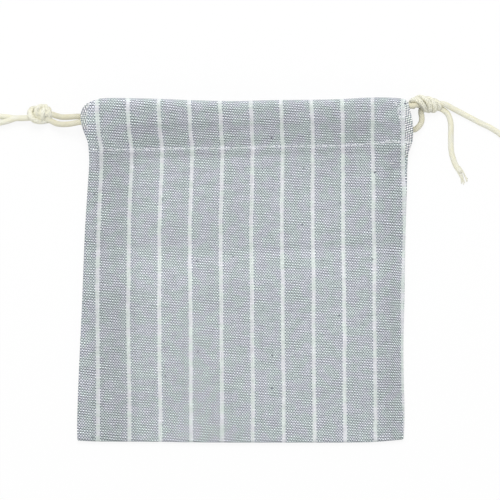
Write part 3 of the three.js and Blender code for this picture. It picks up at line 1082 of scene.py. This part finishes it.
def cotton_cord(settings):
    """Cream braided cotton: strands winding both ways, with fibres along each and painted shade in
    the crevices. The fibres bunch up in a knot, and the cord has painted shade, darker and warmer,
    near the pouch."""
    material, graph, shader = new_material("cotton cord")
    place = graph.lay()
    u, v = graph.parts(place)
    round_part = graph.times(u, settings.strands / (math.pi * CORD))
    along_part = graph.over(v, settings.braid_step)
    threads = graph.vector(graph.plus(round_part, along_part), graph.minus(round_part, along_part))
    weave = graph.group(plain_weave(), Threads=threads)
    a, b = graph.parts(threads)

    def on_top(first, second):
        return graph.line(weave["Warp On Top"], graph.minus(first, second), second)

    def strand_shade(number, along):
        values = {"Number": weave[number], "Along": along}
        return graph.group(yarn_shade(), **values, Slub_Length=6.0, Slub=0.14, Own=0.08)["Shade"]

    def fibres(across, along):
        stretched = graph.vector(graph.times(across, 9.0), graph.times(along, 0.9))
        return graph.noise(stretched, 1.0, 2.0)[0]

    shade = on_top(strand_shade("Warp Number", b), strand_shade("Weft Number", a))
    # Painted shade in the braid's crevices.
    depth = graph.between(weave["Height"], 0.1, 0.75, 0.74, 1.0)
    cord = graph.scaled(settings.cream, graph.times(shade, depth))
    patches, _ = graph.noise(place, 0.004, 2.0)
    warm, cool = (1.0, 0.985, 0.93), (0.99, 0.995, 1.03)
    cord = graph.tinted(cord, graph.blend(graph.between(patches, 0.35, 0.65), warm, cool))
    bunch, _ = graph.noise(place, 0.0007, 2.0, 0.6)
    in_knot = graph.attribute("grain")
    bunched = graph.times(graph.between(bunch, 0.34, 0.56, -0.9, 0.25), in_knot)
    cord = graph.scaled(cord, graph.line(bunched, 0.34, graph.line(in_knot, 0.085, 1.0)))
    # Painted shade, darker and warmer, on the cord near the pouch.
    near_pouch_shade = graph.blend(graph.attribute("handled"), (1.0, 1.0, 1.0), (0.90, 0.88, 0.825))
    graph.feed(shader["Base Color"], graph.tinted(cord, near_pouch_shade))
    shader["Roughness"].default_value = 0.85
    shader["Specular IOR Level"].default_value = 0.3
    shader["Sheen Weight"].default_value = 0.15
    height = graph.line(on_top(fibres(a, b), fibres(b, a)), 0.35, weave["Height"])
    height = graph.line(bunched, 1.5, height)
    graph.feed(shader["Normal"], graph.bump(height, 0.00014, 0.6))
    return material


def sewing_thread(settings):
    """White thread: two plies wound round each other as slanting bands."""
    material, graph, shader = new_material("sewing thread")
    u, v = graph.parts(graph.lay())
    slant = graph.plus(graph.over(u, settings.thread * math.pi / 2), graph.over(v, 0.0006))
    band = graph.math("SINE", graph.times(graph.math("FRACT", slant), math.pi))
    # Painted shade in the grooves between the plies, down to 0.82.
    tone = graph.between(band, 0.0, 0.6, 0.82, 1.0)
    graph.feed(shader["Base Color"], graph.scaled(settings.white, tone))
    shader["Roughness"].default_value = 0.7
    graph.feed(shader["Normal"], graph.bump(band, 0.00006, 0.5))
    return material


# ---- The cloth ----
def cloth_rows(settings):
    """The strip of cloth from its front raw edge to its back one, as stretches of rows.

    Each stretch gives its heights y, and a function of x for the lying place and the middle height
    of the cloth. The four walls follow the surfaces of the pouch. The folds are squared half
    ellipses, y = base + depth cos(t)^p and z = middle + half sin(t)^p.
    """
    thickness = settings.thickness
    front_full = STITCHING + RAMP

    def walls(heights, level):
        def place(x):
            y = heights[:, None]
            return lying_height(x, y), level(x, y)

        return heights, place

    def fold(base, end, low, high, turn, count):
        """A fold from one wall to the other: `turn` is 1 at the top and -1 at the bottom."""
        angles = np.linspace(-0.5 * math.pi, 0.5 * math.pi, count + 2)[1:-1]
        out = np.cos(angles) ** FOLD_POWER
        swing = np.sign(np.sin(angles)) * np.abs(np.sin(angles)) ** FOLD_POWER
        heights = base + (end - base) * out

        def place(x):
            bottom_level, top_level = low(x, base), high(x, base)
            middle = (bottom_level + top_level) / 2
            half = (top_level - bottom_level) / 2
            start = lying_height(x, np.full_like(x, base))
            stop = lying_height(x, np.full_like(x, end)) - turn * thickness / 2
            return mix(start, stop, out[:, None]), middle + half * swing[:, None]

        return heights, place

    def front_outer(x, y):
        return front_cloth(x, y, thickness)

    def front_inner(x, y):
        pressed = stitch_dip(x, y) * (1.0 - smoothstep(y, STITCHING, front_full))
        under = wall_depth(x, y, thickness, 2.0 * LAYER + CHANNEL - thickness, front_full)
        return front_top(x, y) - thickness / 2 - under - hem_slack(y) - back_slack(x, y) + pressed

    def back_outer(x, y):
        return back_cloth(x, y, thickness)

    def back_inner(x, y):
        pressed = back_cloth(x, y, thickness) - thickness / 2
        pressed = pressed * (1.0 - smoothstep(y, STITCHING, BACK_RIDGE))
        return thickness / 2 + wall_depth(x, y, thickness, BACK_WALL, BACK_RIDGE) + pressed

    edge = STITCHING - HEM
    inside = np.linspace(edge, TOP_FOLD, 26)
    channel = np.linspace(TOP_FOLD, edge - 0.002, 46)
    body = np.linspace(edge - 0.002, BOTTOM_FOLD, 100)[1:]
    return [
        walls(inside, front_inner),
        fold(TOP_FOLD, TOP, front_inner, front_outer, 1, 9),
        walls(np.concatenate([channel, body]), front_outer),
        fold_down(fold(BOTTOM_FOLD, BOTTOM, back_outer, front_outer, -1, 7)),
        walls(np.concatenate([body[::-2], channel[::-2]]), back_outer),
        fold(TOP_FOLD, TOP, back_outer, back_inner, 1, 9),
        walls(np.linspace(TOP_FOLD, edge, 26), back_inner),
    ]


def fold_down(stretch):
    """The same fold, run from its upper wall to its lower one."""
    heights, place = stretch

    def turned(x):
        y, z = place(x[::-1])
        return y[::-1], z[::-1]

    return heights[::-1], turned


def fold_distance(y, thickness):
    """How far the turned-in side edge lies from its layer: pressed flat beside the slits, and a
    little open in the seams, where two of them meet."""
    seam = (2.0 * LAYER + SIDE_GAP - thickness) / 2 - thickness / 2 - TOUCH / 2
    return mix(seam, thickness + TOUCH, smoothstep(y, SLIT_FOOT - 0.001, SLIT_FOOT + 0.001))


def stripe_place(x, y):
    """Place across the cloth, counted from the first stripe: the parabola through the first, sixth
    and tenth stripes of this height. Past the tenth the cloth bends down to its side edge, so the
    count gains on the parabola by a square law that brings the last stripe to ten pitches."""
    first, sixth, tenth, last = (line(y) for line in stripe_lines)

    def parabola(x):
        to_sixth = 5.0 * (x - first) * (x - tenth) / ((sixth - first) * (sixth - tenth))
        to_tenth = 9.0 * (x - first) * (x - sixth) / ((tenth - first) * (tenth - sixth))
        return to_sixth + to_tenth

    bend = tenth + 0.0045
    past = np.maximum(x - bend, 0.0) / (last - bend)
    return parabola(x) + (10.0 - parabola(last)) * past**2


def cloth_points(settings):
    """The middle surface of the whole strip as a grid, with its flat map and the points' values.

    Columns run from side to side. At both ends they turn in towards the wrong side, as a half circle
    of radius h/2 and then a strip at distance h under the layer: P = M - N h, with N the normal.
    """
    thickness = settings.thickness
    share = np.linspace(0.0, 1.0, settings.columns)[None, :]
    heights, blocks = [], []
    for stretch, place in cloth_rows(settings):
        y = stretch[:, None]
        inset = thickness / 2 + fold_distance(y, thickness) / 2
        x = mix(left_edge(y) + inset, right_edge(y) - inset, share)
        heights.append(stretch)
        blocks.append(np.stack([x, *place(x)], axis=-1))
    y = np.concatenate(heights)
    middle = np.concatenate(blocks)

    across = np.gradient(middle, axis=1)
    normal = unit(np.cross(np.gradient(middle, axis=0), across))
    reach = fold_distance(y, thickness)[:, None, None]
    turn = np.arange(1, 6)[None, :, None] * math.pi / 5

    def turned_side(edge, outward, inner):
        """The half circle at one edge and the turned-in strip under the columns `inner`."""
        base, up = middle[:, edge : edge + 1], normal[:, edge : edge + 1]
        curl = base + (outward * np.sin(turn) - up * (1.0 - np.cos(turn))) * reach / 2
        return curl, middle[:, inner] - normal[:, inner] * reach

    last = settings.columns - 1
    under_left = slice(1, TURNED_COLUMNS + 1)
    under_right = slice(last - 1, last - TURNED_COLUMNS - 1, -1)
    left_curl, left_strip = turned_side(0, -unit(across[:, :1]), under_left)
    right_curl, right_strip = turned_side(last, unit(across[:, -1:]), under_right)
    points = np.concatenate(
        [left_strip[:, ::-1], left_curl[:, ::-1], middle, right_curl, right_strip], axis=1
    )
    # The tone values are the painted light and shade of the cloth.
    values = {"tone": painted_cloth_light(points, y), "rows": row_depth(points, y)}
    values["left_roll"], values["right_roll"] = corner_rolls(points)
    return points, flat_map(middle, (turn * reach)[:, :, 0] / 2, settings), values


def flat_map(middle, arc, settings):
    """The strip laid flat, in metres: across it the stripes' count times their pitch, carried on
    round the side turns by their arc and over the turned-in strips, and down it the run of its
    middle column."""
    width = settings.stripe_pitch * stripe_place(middle[..., 0], middle[..., 1])
    width = width + settings.warp_pitch / 2
    steps = np.arange(1, TURNED_COLUMNS + 1)[None, :] * np.abs(width[:, 1:2] - width[:, :1])
    left, right = width[:, :1] - arc, width[:, -1:] + arc
    left_strip, right_strip = left[:, -1:] - steps, right[:, -1:] + steps
    u = np.concatenate([left_strip[:, ::-1], left[:, ::-1], width, right, right_strip], axis=1)
    v = -path_run(middle[:, settings.columns // 2])
    return np.stack([u, np.broadcast_to(v[:, None], u.shape)], axis=-1)


LEFT_ROLL_FOOT = 0.0562  # height from which the cloth rolls over at the left end of the channel
RIGHT_ROLL_FOOT = 0.0450
RIGHT_ROLL_LINE = 0.0641  # x past which it rolls over at the right end
NOT_ROLLED = -0.001


def corner_rolls(points):
    """How far each point lies past the lines where the cloth rolls over at the ends of the channel,
    left and right. Past them the threads run at a slope."""
    x, y = points[..., 0], points[..., 1]
    line_x, line_y = np.array(LEFT_SLIT_STITCHES).T
    left = np.where(y > LEFT_ROLL_FOOT, smooth_line(-line_y, line_x)(-y) - x, NOT_ROLLED)
    right = np.where(y > RIGHT_ROLL_FOOT, x - RIGHT_ROLL_LINE, NOT_ROLLED)
    return left, right


def row_depth(points, y):
    """Strength of the raised rows: stronger on the channel and towards both sides."""
    channel = smoothstep(y, STITCHING - 0.001, STITCHING + 0.001)[:, None]
    sides = smoothstep(np.abs(points[..., 0] - MIDDLE), 0.0450, 0.0600)
    return 0.33 + 0.13 * np.maximum(channel, sides)


# Where the painted light and shade on the cloth change.
MIDDLE = 0.0005  # x of the pouch's middle line
SEAM_MIDDLE = 0.0045  # x half way between the shades inside the two seams
# The pressed line has a painted highlight below it and painted shade above it.
PRESSED_LINE_SHADING = (0.0074, 0.0088)  # heights between which the pressed line changes the brightness
# Steps of painted shade over the hem.
HEM_SHADE_STEPS = (  # from height, to height, strength
    (0.0448, 0.0470, 1.0),
    (0.0380, 0.0420, 0.35),
    (0.0280, 0.0340, 0.15),
)
# Painted highlights on the rolled edges at the ends of the channel.
ROLLED_EDGE_HIGHLIGHTS = (  # side, from and to how far aside, from and to height, strength
    (1, 0.0634, 0.0646, 0.0440, 0.0460, 0.24),
    (-1, 0.0588, 0.0602, 0.0400, 0.0440, 0.14),
)


def painted_cloth_light(points, y):
    """Painted light and shade on the cloth: darker on the channel, over the hem and inside both
    seams (painted shade), lighter along the top folds, where the channel rolls over its cord and on
    its ends' rolled edges (painted highlights). A pressed line crosses the middle, darker above and
    lighter below: painted shade above it and a painted highlight below it."""
    x, y = points[..., 0], y[:, None]
    across = np.abs(x - MIDDLE)
    flanks = smoothstep(across, 0.0380, 0.0600)
    channel = smoothstep(y, STITCHING - 0.0002, STITCHING + 0.0012)
    # rim is a painted highlight along the top folds, half as strong towards the sides.
    rim_highlight = 0.28 * smoothstep(y, 0.0636, TOP) * (1.0 - 0.5 * flanks)
    # roll is a painted highlight where the channel rolls over its cord, stronger towards the sides.
    roll = np.exp(-(((y - 0.0560) / 0.0045) ** 2)) * (0.03 + 0.09 * flanks)
    # Painted shade darkens the channel by 14 %, and the painted highlights, a little more at the
    # sides, lighten it.
    channel_shade_and_highlights = (1.0 - 0.14 * channel) * (1.0 + (rim_highlight + roll + 0.05 * flanks) * channel)

    # Painted shade over the hem, weaker towards the sides, ending at the stitching.
    hem = sum(strength * smoothstep(y, low, high) for low, high, strength in HEM_SHADE_STEPS)
    hem = hem * (1.0 - smoothstep(y, 0.0484, STITCHING))
    inside = np.abs(x - SEAM_MIDDLE)
    # Painted shade inside both seams below the channel, lighter again at the very sides.
    seams = smoothstep(inside, 0.0430, 0.0550) - 0.5 * smoothstep(across, 0.0600, 0.0640)
    below = (1.0 - (0.12 - 0.07 * flanks) * hem) * (1.0 - 0.12 * seams * (1.0 - channel))

    # Painted highlights on the rolled edges at the ends of the channel.
    rolled = sum(
        smoothstep(side * x, near, far) * smoothstep(y, low, high) * strength
        for side, near, far, low, high, strength in ROLLED_EDGE_HIGHLIGHTS
    )
    # A pressed line across the middle: a painted highlight below it and painted shade above it.
    above_line = smoothstep(y, *PRESSED_LINE_SHADING)
    pressed = 0.055 * smoothstep(y, -0.0120, -0.0010) * (1.0 - above_line)
    pressed = pressed - 0.030 * above_line * (1.0 - smoothstep(y, 0.0120, 0.0220))
    return channel_shade_and_highlights * below * (1.0 + rolled) * (1.0 + pressed)


# ---- Stitches ----
def stitch_template(settings):
    """One stitch along +X: a slim pod whose ends dip into the cloth.

    The radius is r (1 - |2s - 1|^4)^(1/2) and the middle line sinks by 0.9 r (2s - 1)^2.
    """
    sides, stations = 6, 6
    radius = settings.thread / 2
    s = np.linspace(0.04, 0.96, stations)
    angle = 2.0 * math.pi * np.arange(sides) / sides
    girth = radius * np.sqrt(1.0 - np.abs(2.0 * s - 1.0) ** 4)
    sink = -0.9 * radius * (2.0 * s - 1.0) ** 2
    x = np.repeat((s - 0.5)[:, None] * settings.stitch, sides, axis=1)
    y = girth[:, None] * np.cos(angle)
    z = girth[:, None] * np.sin(angle) + sink[:, None]
    return ring_part(np.stack([x, y, z], axis=-1), s * settings.stitch, math.pi * settings.thread)


def stitches_along(line, along, normals, settings, rng, pitch):
    """Copies of one stitch along a line, each turned into the frame of tangent, side and normal
    there, with a little unevenness of place, heading and length."""
    count = max(1, round(along[-1] / pitch))
    at = (np.arange(count) + 0.5) * along[-1] / count

    def along_line(values):
        return np.stack([np.interp(at, along, values[:, axis]) for axis in range(3)], axis=1)

    middle = along_line(line)
    normal = unit(along_line(normals))
    tangent = upright(unit(along_line(np.gradient(line, axis=0))), normal)
    sideways = np.cross(normal, tangent)
    swing = rng.normal(0.0, 0.05, count)[:, None]
    tangent, sideways = tangent + swing * sideways, sideways - swing * tangent
    middle = middle + rng.normal(0.0, 0.00006, count)[:, None] * sideways
    stretch = 1.0 + rng.normal(0.0, 0.05, count)
    template = stitch_template(settings)
    x, y, z = template.vertices.T[:, None, :, None]
    vertices = (
        middle[:, None]
        + x * stretch[:, None, None] * tangent[:, None]
        + y * sideways[:, None]
        + z * normal[:, None]
    )
    offset = np.arange(count)[:, None, None] * len(template.vertices)
    faces = [(face[None] + offset).reshape(-1, face.shape[1]) for face in template.faces]
    corners = [np.tile(corner, (count, 1, 1)) for corner in template.corners]
    return Part(vertices.reshape(-1, 3), faces, corners)


def line_on_cloth(points, step, level, sign):
    """A line of x and lying y laid on the front (sign 1) or under the back (sign -1), with the
    cloth's normal along it. The normal comes from small differences of the surface's height."""
    flat = [(x, y, 0.0) for x, y in points]
    line, _ = smooth_path(flat, step)
    x, lying = line[:, 0], line[:, 1]
    y = height_lying_at(x, lying)
    nudge = 0.0002
    slope_x = (level(x + nudge, y) - level(x - nudge, y)) / (2.0 * nudge)
    slope_y = (level(x, y + nudge) - level(x, y - nudge)) / (2.0 * nudge)
    line[:, 2] = level(x, y)
    normals = unit(np.stack([-slope_x, -slope_y, np.ones_like(x)], axis=-1)) * sign
    return line, path_run(line), normals


# ---- Cords and knots ----
def cord_tube(route, settings, sides=28, step=0.00028):
    """A braided cord along its route, with its middle line."""
    line, along = smooth_path(route, step)
    relief = (settings.relief, settings.strands, settings.braid_step)
    return tube(line, along, CORD / 2, sides, relief=relief), line


def free_cord(name, end, settings, material):
    """A cord end that lies free: its braid along the route, standing for its strand and tail. The
    names of the knot that it carries and of the loose yarns at its cut end are gathered but not
    used."""
    route = [end.inside, *end.strand, *end.in_knot, *end.tail]
    part, line = cord_tube(route, settings)
    # Painted shade on the cord within 76 mm of the middle, fading out by 81 mm.
    handled = 1.0 - smoothstep(np.abs(part.vertices[:, 0]), 0.0760, 0.0810)
    nodes = (name + "_strand", end.tail_name + "_tail")
    piece = add_piece(name + "_cord", part, material, "cotton_cord", nodes, handled=handled)
    carried = [end.knot + "_knot_turns"] if end.knot else []
    carried.append(end.tail_name + "_fray")


def knot_core(axis, radii):
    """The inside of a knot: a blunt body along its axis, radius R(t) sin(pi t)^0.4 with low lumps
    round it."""
    start, end = np.array(axis[0]), np.array(axis[1])
    rows, sides = 22, 24
    t = np.linspace(0.02, 0.98, rows)[:, None]
    tangent = unit(end - start)
    up = upright(np.array([0.0, 0.0, 1.0]), tangent)
    sideways = np.cross(tangent, up)
    angle = 2.0 * math.pi * np.arange(sides) / sides
    lumps = 1.0 + 0.05 * np.sin(3.0 * angle + 9.0 * t)
    radius = mix(radii[0], radii[1], t) * np.sin(math.pi * t) ** 0.4 * lumps
    ring = np.cos(angle)[:, None] * up + np.sin(angle)[:, None] * sideways
    points = mix(start, end, t)[:, None, :] + radius[..., None] * ring
    return ring_part(points, t[:, 0] * np.linalg.norm(end - start), math.pi * CORD)


def knot_turns(turns, axis, settings):
    """The turns of a knot as squashed cords, flat towards the knot's axis."""
    start, end = np.array(axis[0]), np.array(axis[1])
    heading = unit(end - start)
    relief = (3.0 * settings.relief, settings.strands, settings.braid_step)
    shape = {"squash": 0.82, "relief": relief, "blunt": 0.6}
    parts = []
    for turn in turns:
        line, along = smooth_path(turn, 0.00025)
        offset = line - start
        outward = unit(offset - (offset @ heading)[:, None] * heading)
        parts.append(tube(line, along, CORD / 2, 28, outward=outward, **shape))
    return parts


def add_knot(side, knot, settings, material):
    """A knot: its turns of cord round the axis of its first core, with the cores between them."""
    inside = [knot_core(axis, radii) for axis, radii in knot.cores]
    part = joined([*inside, *knot_turns(knot.turns, knot.cores[0][0], settings)])
    grain = np.ones(len(part.vertices))
    add_piece(side + "_knot_turns", part, material, "cotton_cord", [side + "_knot"], grain=grain)


def frayed_end(name, tail, fray, material):
    """Loose yarns past a cut end: each starts inside the cord, wanders off aside by t squared and by
    a sine of its own, and sinks. All of them turn towards -Y by the droop, a little shortened."""
    rng = np.random.default_rng(fray.seed)
    end = np.array(tail[-1])
    heading = unit(end - np.array(tail[-2]))
    shortened = heading * (1.0 - math.sqrt(1.0 - 0.5 * fray.droop))
    down = np.array([0.0, -fray.droop, 0.0]) - shortened
    aside = unit(np.cross(heading, [0.0, 0.0, 1.0]))
    parts = []
    for _ in range(YARNS):
        turn = rng.uniform(0.0, 2.0 * math.pi)
        start = rng.uniform(0.55, 0.9) * CORD / 2
        out = rng.normal(0.0, fray.spread)
        far = rng.uniform(0.80, 1.0) * fray.reach
        t = np.linspace(0.0, 1.0, 9)[:, None]
        curl = rng.uniform(0.0001, 0.0004) * np.sin(t * rng.uniform(3.0, 7.0) + turn)
        line = (
            end
            - heading * YARN_ROOT
            + (heading + down * t) * far * t
            + aside * (start * math.cos(turn) + out * t * t + curl * t)
        )
        height = end[2] + start * math.sin(turn) * (1.0 - t[:, 0]) - 0.0006 * t[:, 0]
        line[:, 2] = np.maximum(height, YARN_REST)
        route, along = smooth_path(line, 0.0003)
        parts.append(tube(route, along, rng.uniform(0.00018, 0.00026), 8, blunt=0.4))
    add_piece(name, joined(parts), material, "cotton_cord")


def channel_run(start, end, height_at):
    """A cord's middle line along a channel, wandering aside by one sine and a half."""
    (x0, y0), (x1, y1) = start, end
    count = round(abs(x1 - x0) / 0.009)
    share = np.arange(count + 1) / count
    x = mix(x0, x1, share)
    y = mix(y0, y1, share) + 0.0003 * np.sin(3.0 * math.pi * share)
    return [tuple(point) for point in np.stack([x, y, height_at(x, y)], axis=1).tolist()]


def back_cord(x, y):
    """Middle height of a cord in the back channel."""
    return np.full_like(x + y, BACK_CORD)


def left_drawstring():
    """Along the front channel, round at the right slit, and back along the back channel."""
    turn = 0.0609
    return [
        CORD_ENDS["left_front"].inside,
        *channel_run((-0.0575, 0.0595), (0.0575, turn), front_cord),
        (0.0612, turn, 0.0077),
        (0.0631, turn, 0.0063),
        (0.0631, turn, 0.0040),
        (0.0612, turn, 0.0026),
        *channel_run((0.0575, turn), (-0.0575, 0.0614), back_cord),
        CORD_ENDS["left_back"].inside,
    ]


def right_drawstring():
    """Along the front channel, round at the left slit, and back along the back channel."""
    return [
        CORD_ENDS["right_front"].inside,
        *channel_run((0.0590, 0.0655), (-0.0050, 0.0646), front_cord),
        *channel_run((-0.0140, 0.0646), (-0.0540, 0.0646), front_cord),
        (-0.0584, 0.0646, 0.00795),
        (-0.0609, 0.0638, 0.0064),
        (-0.0616, 0.0618, 0.00515),
        (-0.0616, 0.0590, 0.0051),
        (-0.0609, 0.0569, 0.0040),
        (-0.0584, 0.0561, 0.0026),
        *channel_run((-0.0540, 0.0561), (0.0600, 0.0561), back_cord),
        CORD_ENDS["right_back"].inside,
    ]


# ---- Operators ----
def material_of(name, make, settings):
    """The named material, made the first time that it is asked for."""
    return bpy.data.materials.get(name) or make(settings)


VIEW_MIDDLE = (0.0022, 0.0080)  # the place under the camera
FLOOR_LEVEL = -0.0002
LAMP_PLACE = (-0.05, 0.60, 1.15)


class POUCH_OT_stage(bpy.types.Operator):
    """Add the pale floor, the soft light and the camera straight above"""

    bl_idname = "pouch.add_stage"
    bl_label = "Add Stage"

    def execute(self, context):
        settings = context.scene.pouch_stage
        low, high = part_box("pouch_cloth")
        self.add_camera(context, settings, (low.z + high.z) / 2)
        self.add_floor(context)
        self.add_light(context, settings)
        context.scene.view_settings.view_transform = "Standard"
        return {"FINISHED"}

    def add_camera(self, context, settings, level):
        camera = bpy.data.cameras.new("camera")
        camera.sensor_width = 36.0
        camera.lens = camera.sensor_width * settings.distance / settings.view_width
        camera.clip_end = 20.0
        eye = bpy.data.objects.new("camera", camera)
        eye.location = (*VIEW_MIDDLE, level + settings.distance)
        context.scene.collection.objects.link(eye)
        context.scene.camera = eye

    def add_floor(self, context):
        material, graph, shader = new_material("white surface")
        shader["Base Color"].default_value = (0.92, 0.92, 0.92, 1.0)
        shader["Roughness"].default_value = 0.9
        shader["Specular IOR Level"].default_value = 0.0
        glow = graph.node("Emission")
        glow.inputs["Color"].default_value = (1.0, 1.0, 1.0, 1.0)
        seen = graph.times(graph.node("LightPath").outputs["Is Camera Ray"], 0.88)
        both = graph.node("MixShader")
        sources = (seen, graph.tree.nodes["Principled BSDF"].outputs[0], glow.outputs[0])
        for socket, source in zip(both.inputs, sources):
            graph.feed(socket, source)
        graph.feed(graph.tree.nodes["Material Output"].inputs["Surface"], both.outputs[0])
        half_side = 1.5
        signs = ((-1, -1), (1, -1), (1, 1), (-1, 1))
        corners = [(x * half_side, y * half_side, FLOOR_LEVEL) for x, y in signs]
        mesh = bpy.data.meshes.new("floor")
        mesh.from_pydata(corners, [], [(0, 1, 2, 3)])
        mesh.materials.append(material)
        floor = bpy.data.objects.new("floor", mesh)
        context.scene.collection.objects.link(floor)

    def add_light(self, context, settings):
        world = bpy.data.worlds.new("even light")
        world.use_nodes = True
        context.scene.world = world
        graph = Graph(world.node_tree)
        sky = world.node_tree.nodes["Background"]
        sky.inputs["Color"].default_value = (1.0, 1.0, 1.0, 1.0)
        rays = graph.node("LightPath").outputs
        seen = rays["Is Camera Ray"]
        for name in ("Is Glossy Ray", "Is Transmission Ray"):
            seen = graph.math("MAXIMUM", seen, rays[name])
        strength = graph.between(seen, 0.0, 1.0, settings.sky, 1.0, smooth=False)
        graph.feed(sky.inputs["Strength"], strength)
        lamp = bpy.data.lights.new("soft lamp", "AREA")
        lamp.shape = "DISK"
        lamp.size = 0.7
        lamp.energy = settings.lamp
        holder = bpy.data.objects.new("soft lamp", lamp)
        holder.location = LAMP_PLACE
        holder.rotation_euler = (-Vector(LAMP_PLACE)).to_track_quat("-Z", "Y").to_euler()
        context.scene.collection.objects.link(holder)


class POUCH_OT_knots(bpy.types.Operator):
    """Add the two knots and the loose yarns at the cut ends"""

    bl_idname = "pouch.add_knots"
    bl_label = "Add Knots"

    def execute(self, context):
        settings = context.scene.pouch_cords
        material = material_of("cotton cord", cotton_cord, settings)
        for side, knot in KNOTS.items():
            add_knot(side, knot, settings, material)
        tails = {end.tail_name: end.tail for end in CORD_ENDS.values()}
        for name, fray in FRAYS.items():
            frayed_end(name + "_fray", tails[name], fray, material)
        return {"FINISHED"}


class POUCH_OT_cords(bpy.types.Operator):
    """Add the four free cord ends"""

    bl_idname = "pouch.add_cords"
    bl_label = "Add Free Cords"

    def execute(self, context):
        settings = context.scene.pouch_cords
        material = material_of("cotton cord", cotton_cord, settings)
        for name, end in CORD_ENDS.items():
            free_cord(name, end, settings, material)
        return {"FINISHED"}


class POUCH_OT_drawstrings(bpy.types.Operator):
    """Add the two drawstrings inside the channels"""

    bl_idname = "pouch.add_drawstrings"
    bl_label = "Add Drawstrings"

    def execute(self, context):
        settings = context.scene.pouch_cords
        material = material_of("cotton cord", cotton_cord, settings)
        for side, route in (("left", left_drawstring()), ("right", right_drawstring())):
            part, _ = cord_tube(route, settings, sides=20, step=0.00035)
            name = side + "_drawstring"
            add_piece(name, part, material, "cotton_cord", [name + "_in_channels"])
        return {"FINISHED"}


class POUCH_OT_cloth(bpy.types.Operator):
    """Add the folded and sewn strip of striped cloth"""

    bl_idname = "pouch.add_cloth"
    bl_label = "Add Cloth"

    def execute(self, context):
        settings = context.scene.pouch_cloth
        material = material_of("striped cotton", striped_cotton, settings)
        points, lay, values = cloth_points(settings)
        part = grid_part(points, lay)
        nodes = ["pouch_cloth"]
        piece = add_piece("striped_cloth", part, material, "striped_cotton", nodes, **values)
        solid = piece.modifiers.new("thickness", "SOLIDIFY")
        solid.thickness = settings.thickness
        solid.offset = 0.0
        return {"FINISHED"}


class POUCH_OT_stitches(bpy.types.Operator):
    """Add the stitching of the channels and the slits"""

    bl_idname = "pouch.add_stitches"
    bl_label = "Add Stitches"

    def execute(self, context):
        cloth = context.scene.pouch_cloth
        settings = context.scene.pouch_stitches
        material = material_of("sewing thread", sewing_thread, settings)
        rng = np.random.default_rng(21)
        sink = 0.25 * settings.thread

        def front(x, y):
            return front_cloth(x, y, cloth.thickness) + cloth.thickness / 2 + sink

        def back(x, y):
            return back_cloth(x, y, cloth.thickness) - cloth.thickness / 2 - sink / 2

        def channel_line():
            inset = 0.0012
            x = np.linspace(left_edge(STITCHING) + inset, right_edge(STITCHING) - inset, 40)
            return list(zip(x.tolist(), lying_height(x, np.full_like(x, STITCHING)).tolist()))

        lines = [
            (channel_line(), front, 1, settings.pitch),
            (channel_line(), back, -1, settings.pitch),
            (LEFT_SLIT_STITCHES, front, 1, settings.pitch),
            (RIGHT_SLIT_STITCHES, front, 1, settings.pitch),
            (RIGHT_END_TACK, front, 1, 0.8 * settings.pitch),
            *[(bar, front, 1, settings.pitch) for bar in BARS],
        ]
        parts = []
        for points, level, sign, pitch in lines:
            line, run, normals = line_on_cloth(points, 0.0005, level, sign)
            parts.append(stitches_along(line, run, normals, settings, rng, pitch))
        add_piece("stitches", joined(parts), material, "striped_cotton")
        return {"FINISHED"}


class POUCH_PT_panel(bpy.types.Panel):
    """The pouch's pieces and sizes"""

    bl_idname = "POUCH_PT_panel"
    bl_label = "Striped Pouch"
    bl_space_type = "VIEW_3D"
    bl_region_type = "UI"
    bl_category = "Pouch"

    def draw(self, context):
        scene = context.scene
        for operator in OPERATORS:
            self.layout.operator(operator.bl_idname)
        for group_name, group in SETTINGS.items():
            box = self.layout.box()
            box.label(text=group_name.removeprefix("pouch_").title())
            for name in group.__annotations__:
                box.prop(getattr(scene, group_name), name)


SETTINGS = {
    "pouch_cloth": PouchClothSettings,
    "pouch_stitches": PouchStitchSettings,
    "pouch_cords": PouchCordSettings,
    "pouch_stage": PouchStageSettings,
}
OPERATORS = (
    POUCH_OT_stage,
    POUCH_OT_knots,
    POUCH_OT_cords,
    POUCH_OT_drawstrings,
    POUCH_OT_cloth,
    POUCH_OT_stitches,
)


def register():
    for made in (*SETTINGS.values(), *OPERATORS, POUCH_PT_panel):
        bpy.utils.register_class(made)
    for name, made in SETTINGS.items():
        setattr(bpy.types.Scene, name, PointerProperty(type=made))


def unregister():
    for name in SETTINGS:
        delattr(bpy.types.Scene, name)
    for made in reversed((*SETTINGS.values(), *OPERATORS, POUCH_PT_panel)):
        bpy.utils.unregister_class(made)


def main():
    register()
    bpy.ops.pouch.add_stage()
    bpy.ops.pouch.add_knots()
    bpy.ops.pouch.add_cords()
    bpy.ops.pouch.add_drawstrings()
    bpy.ops.pouch.add_cloth()
    bpy.ops.pouch.add_stitches()


if __name__ == "__main__":
    main()
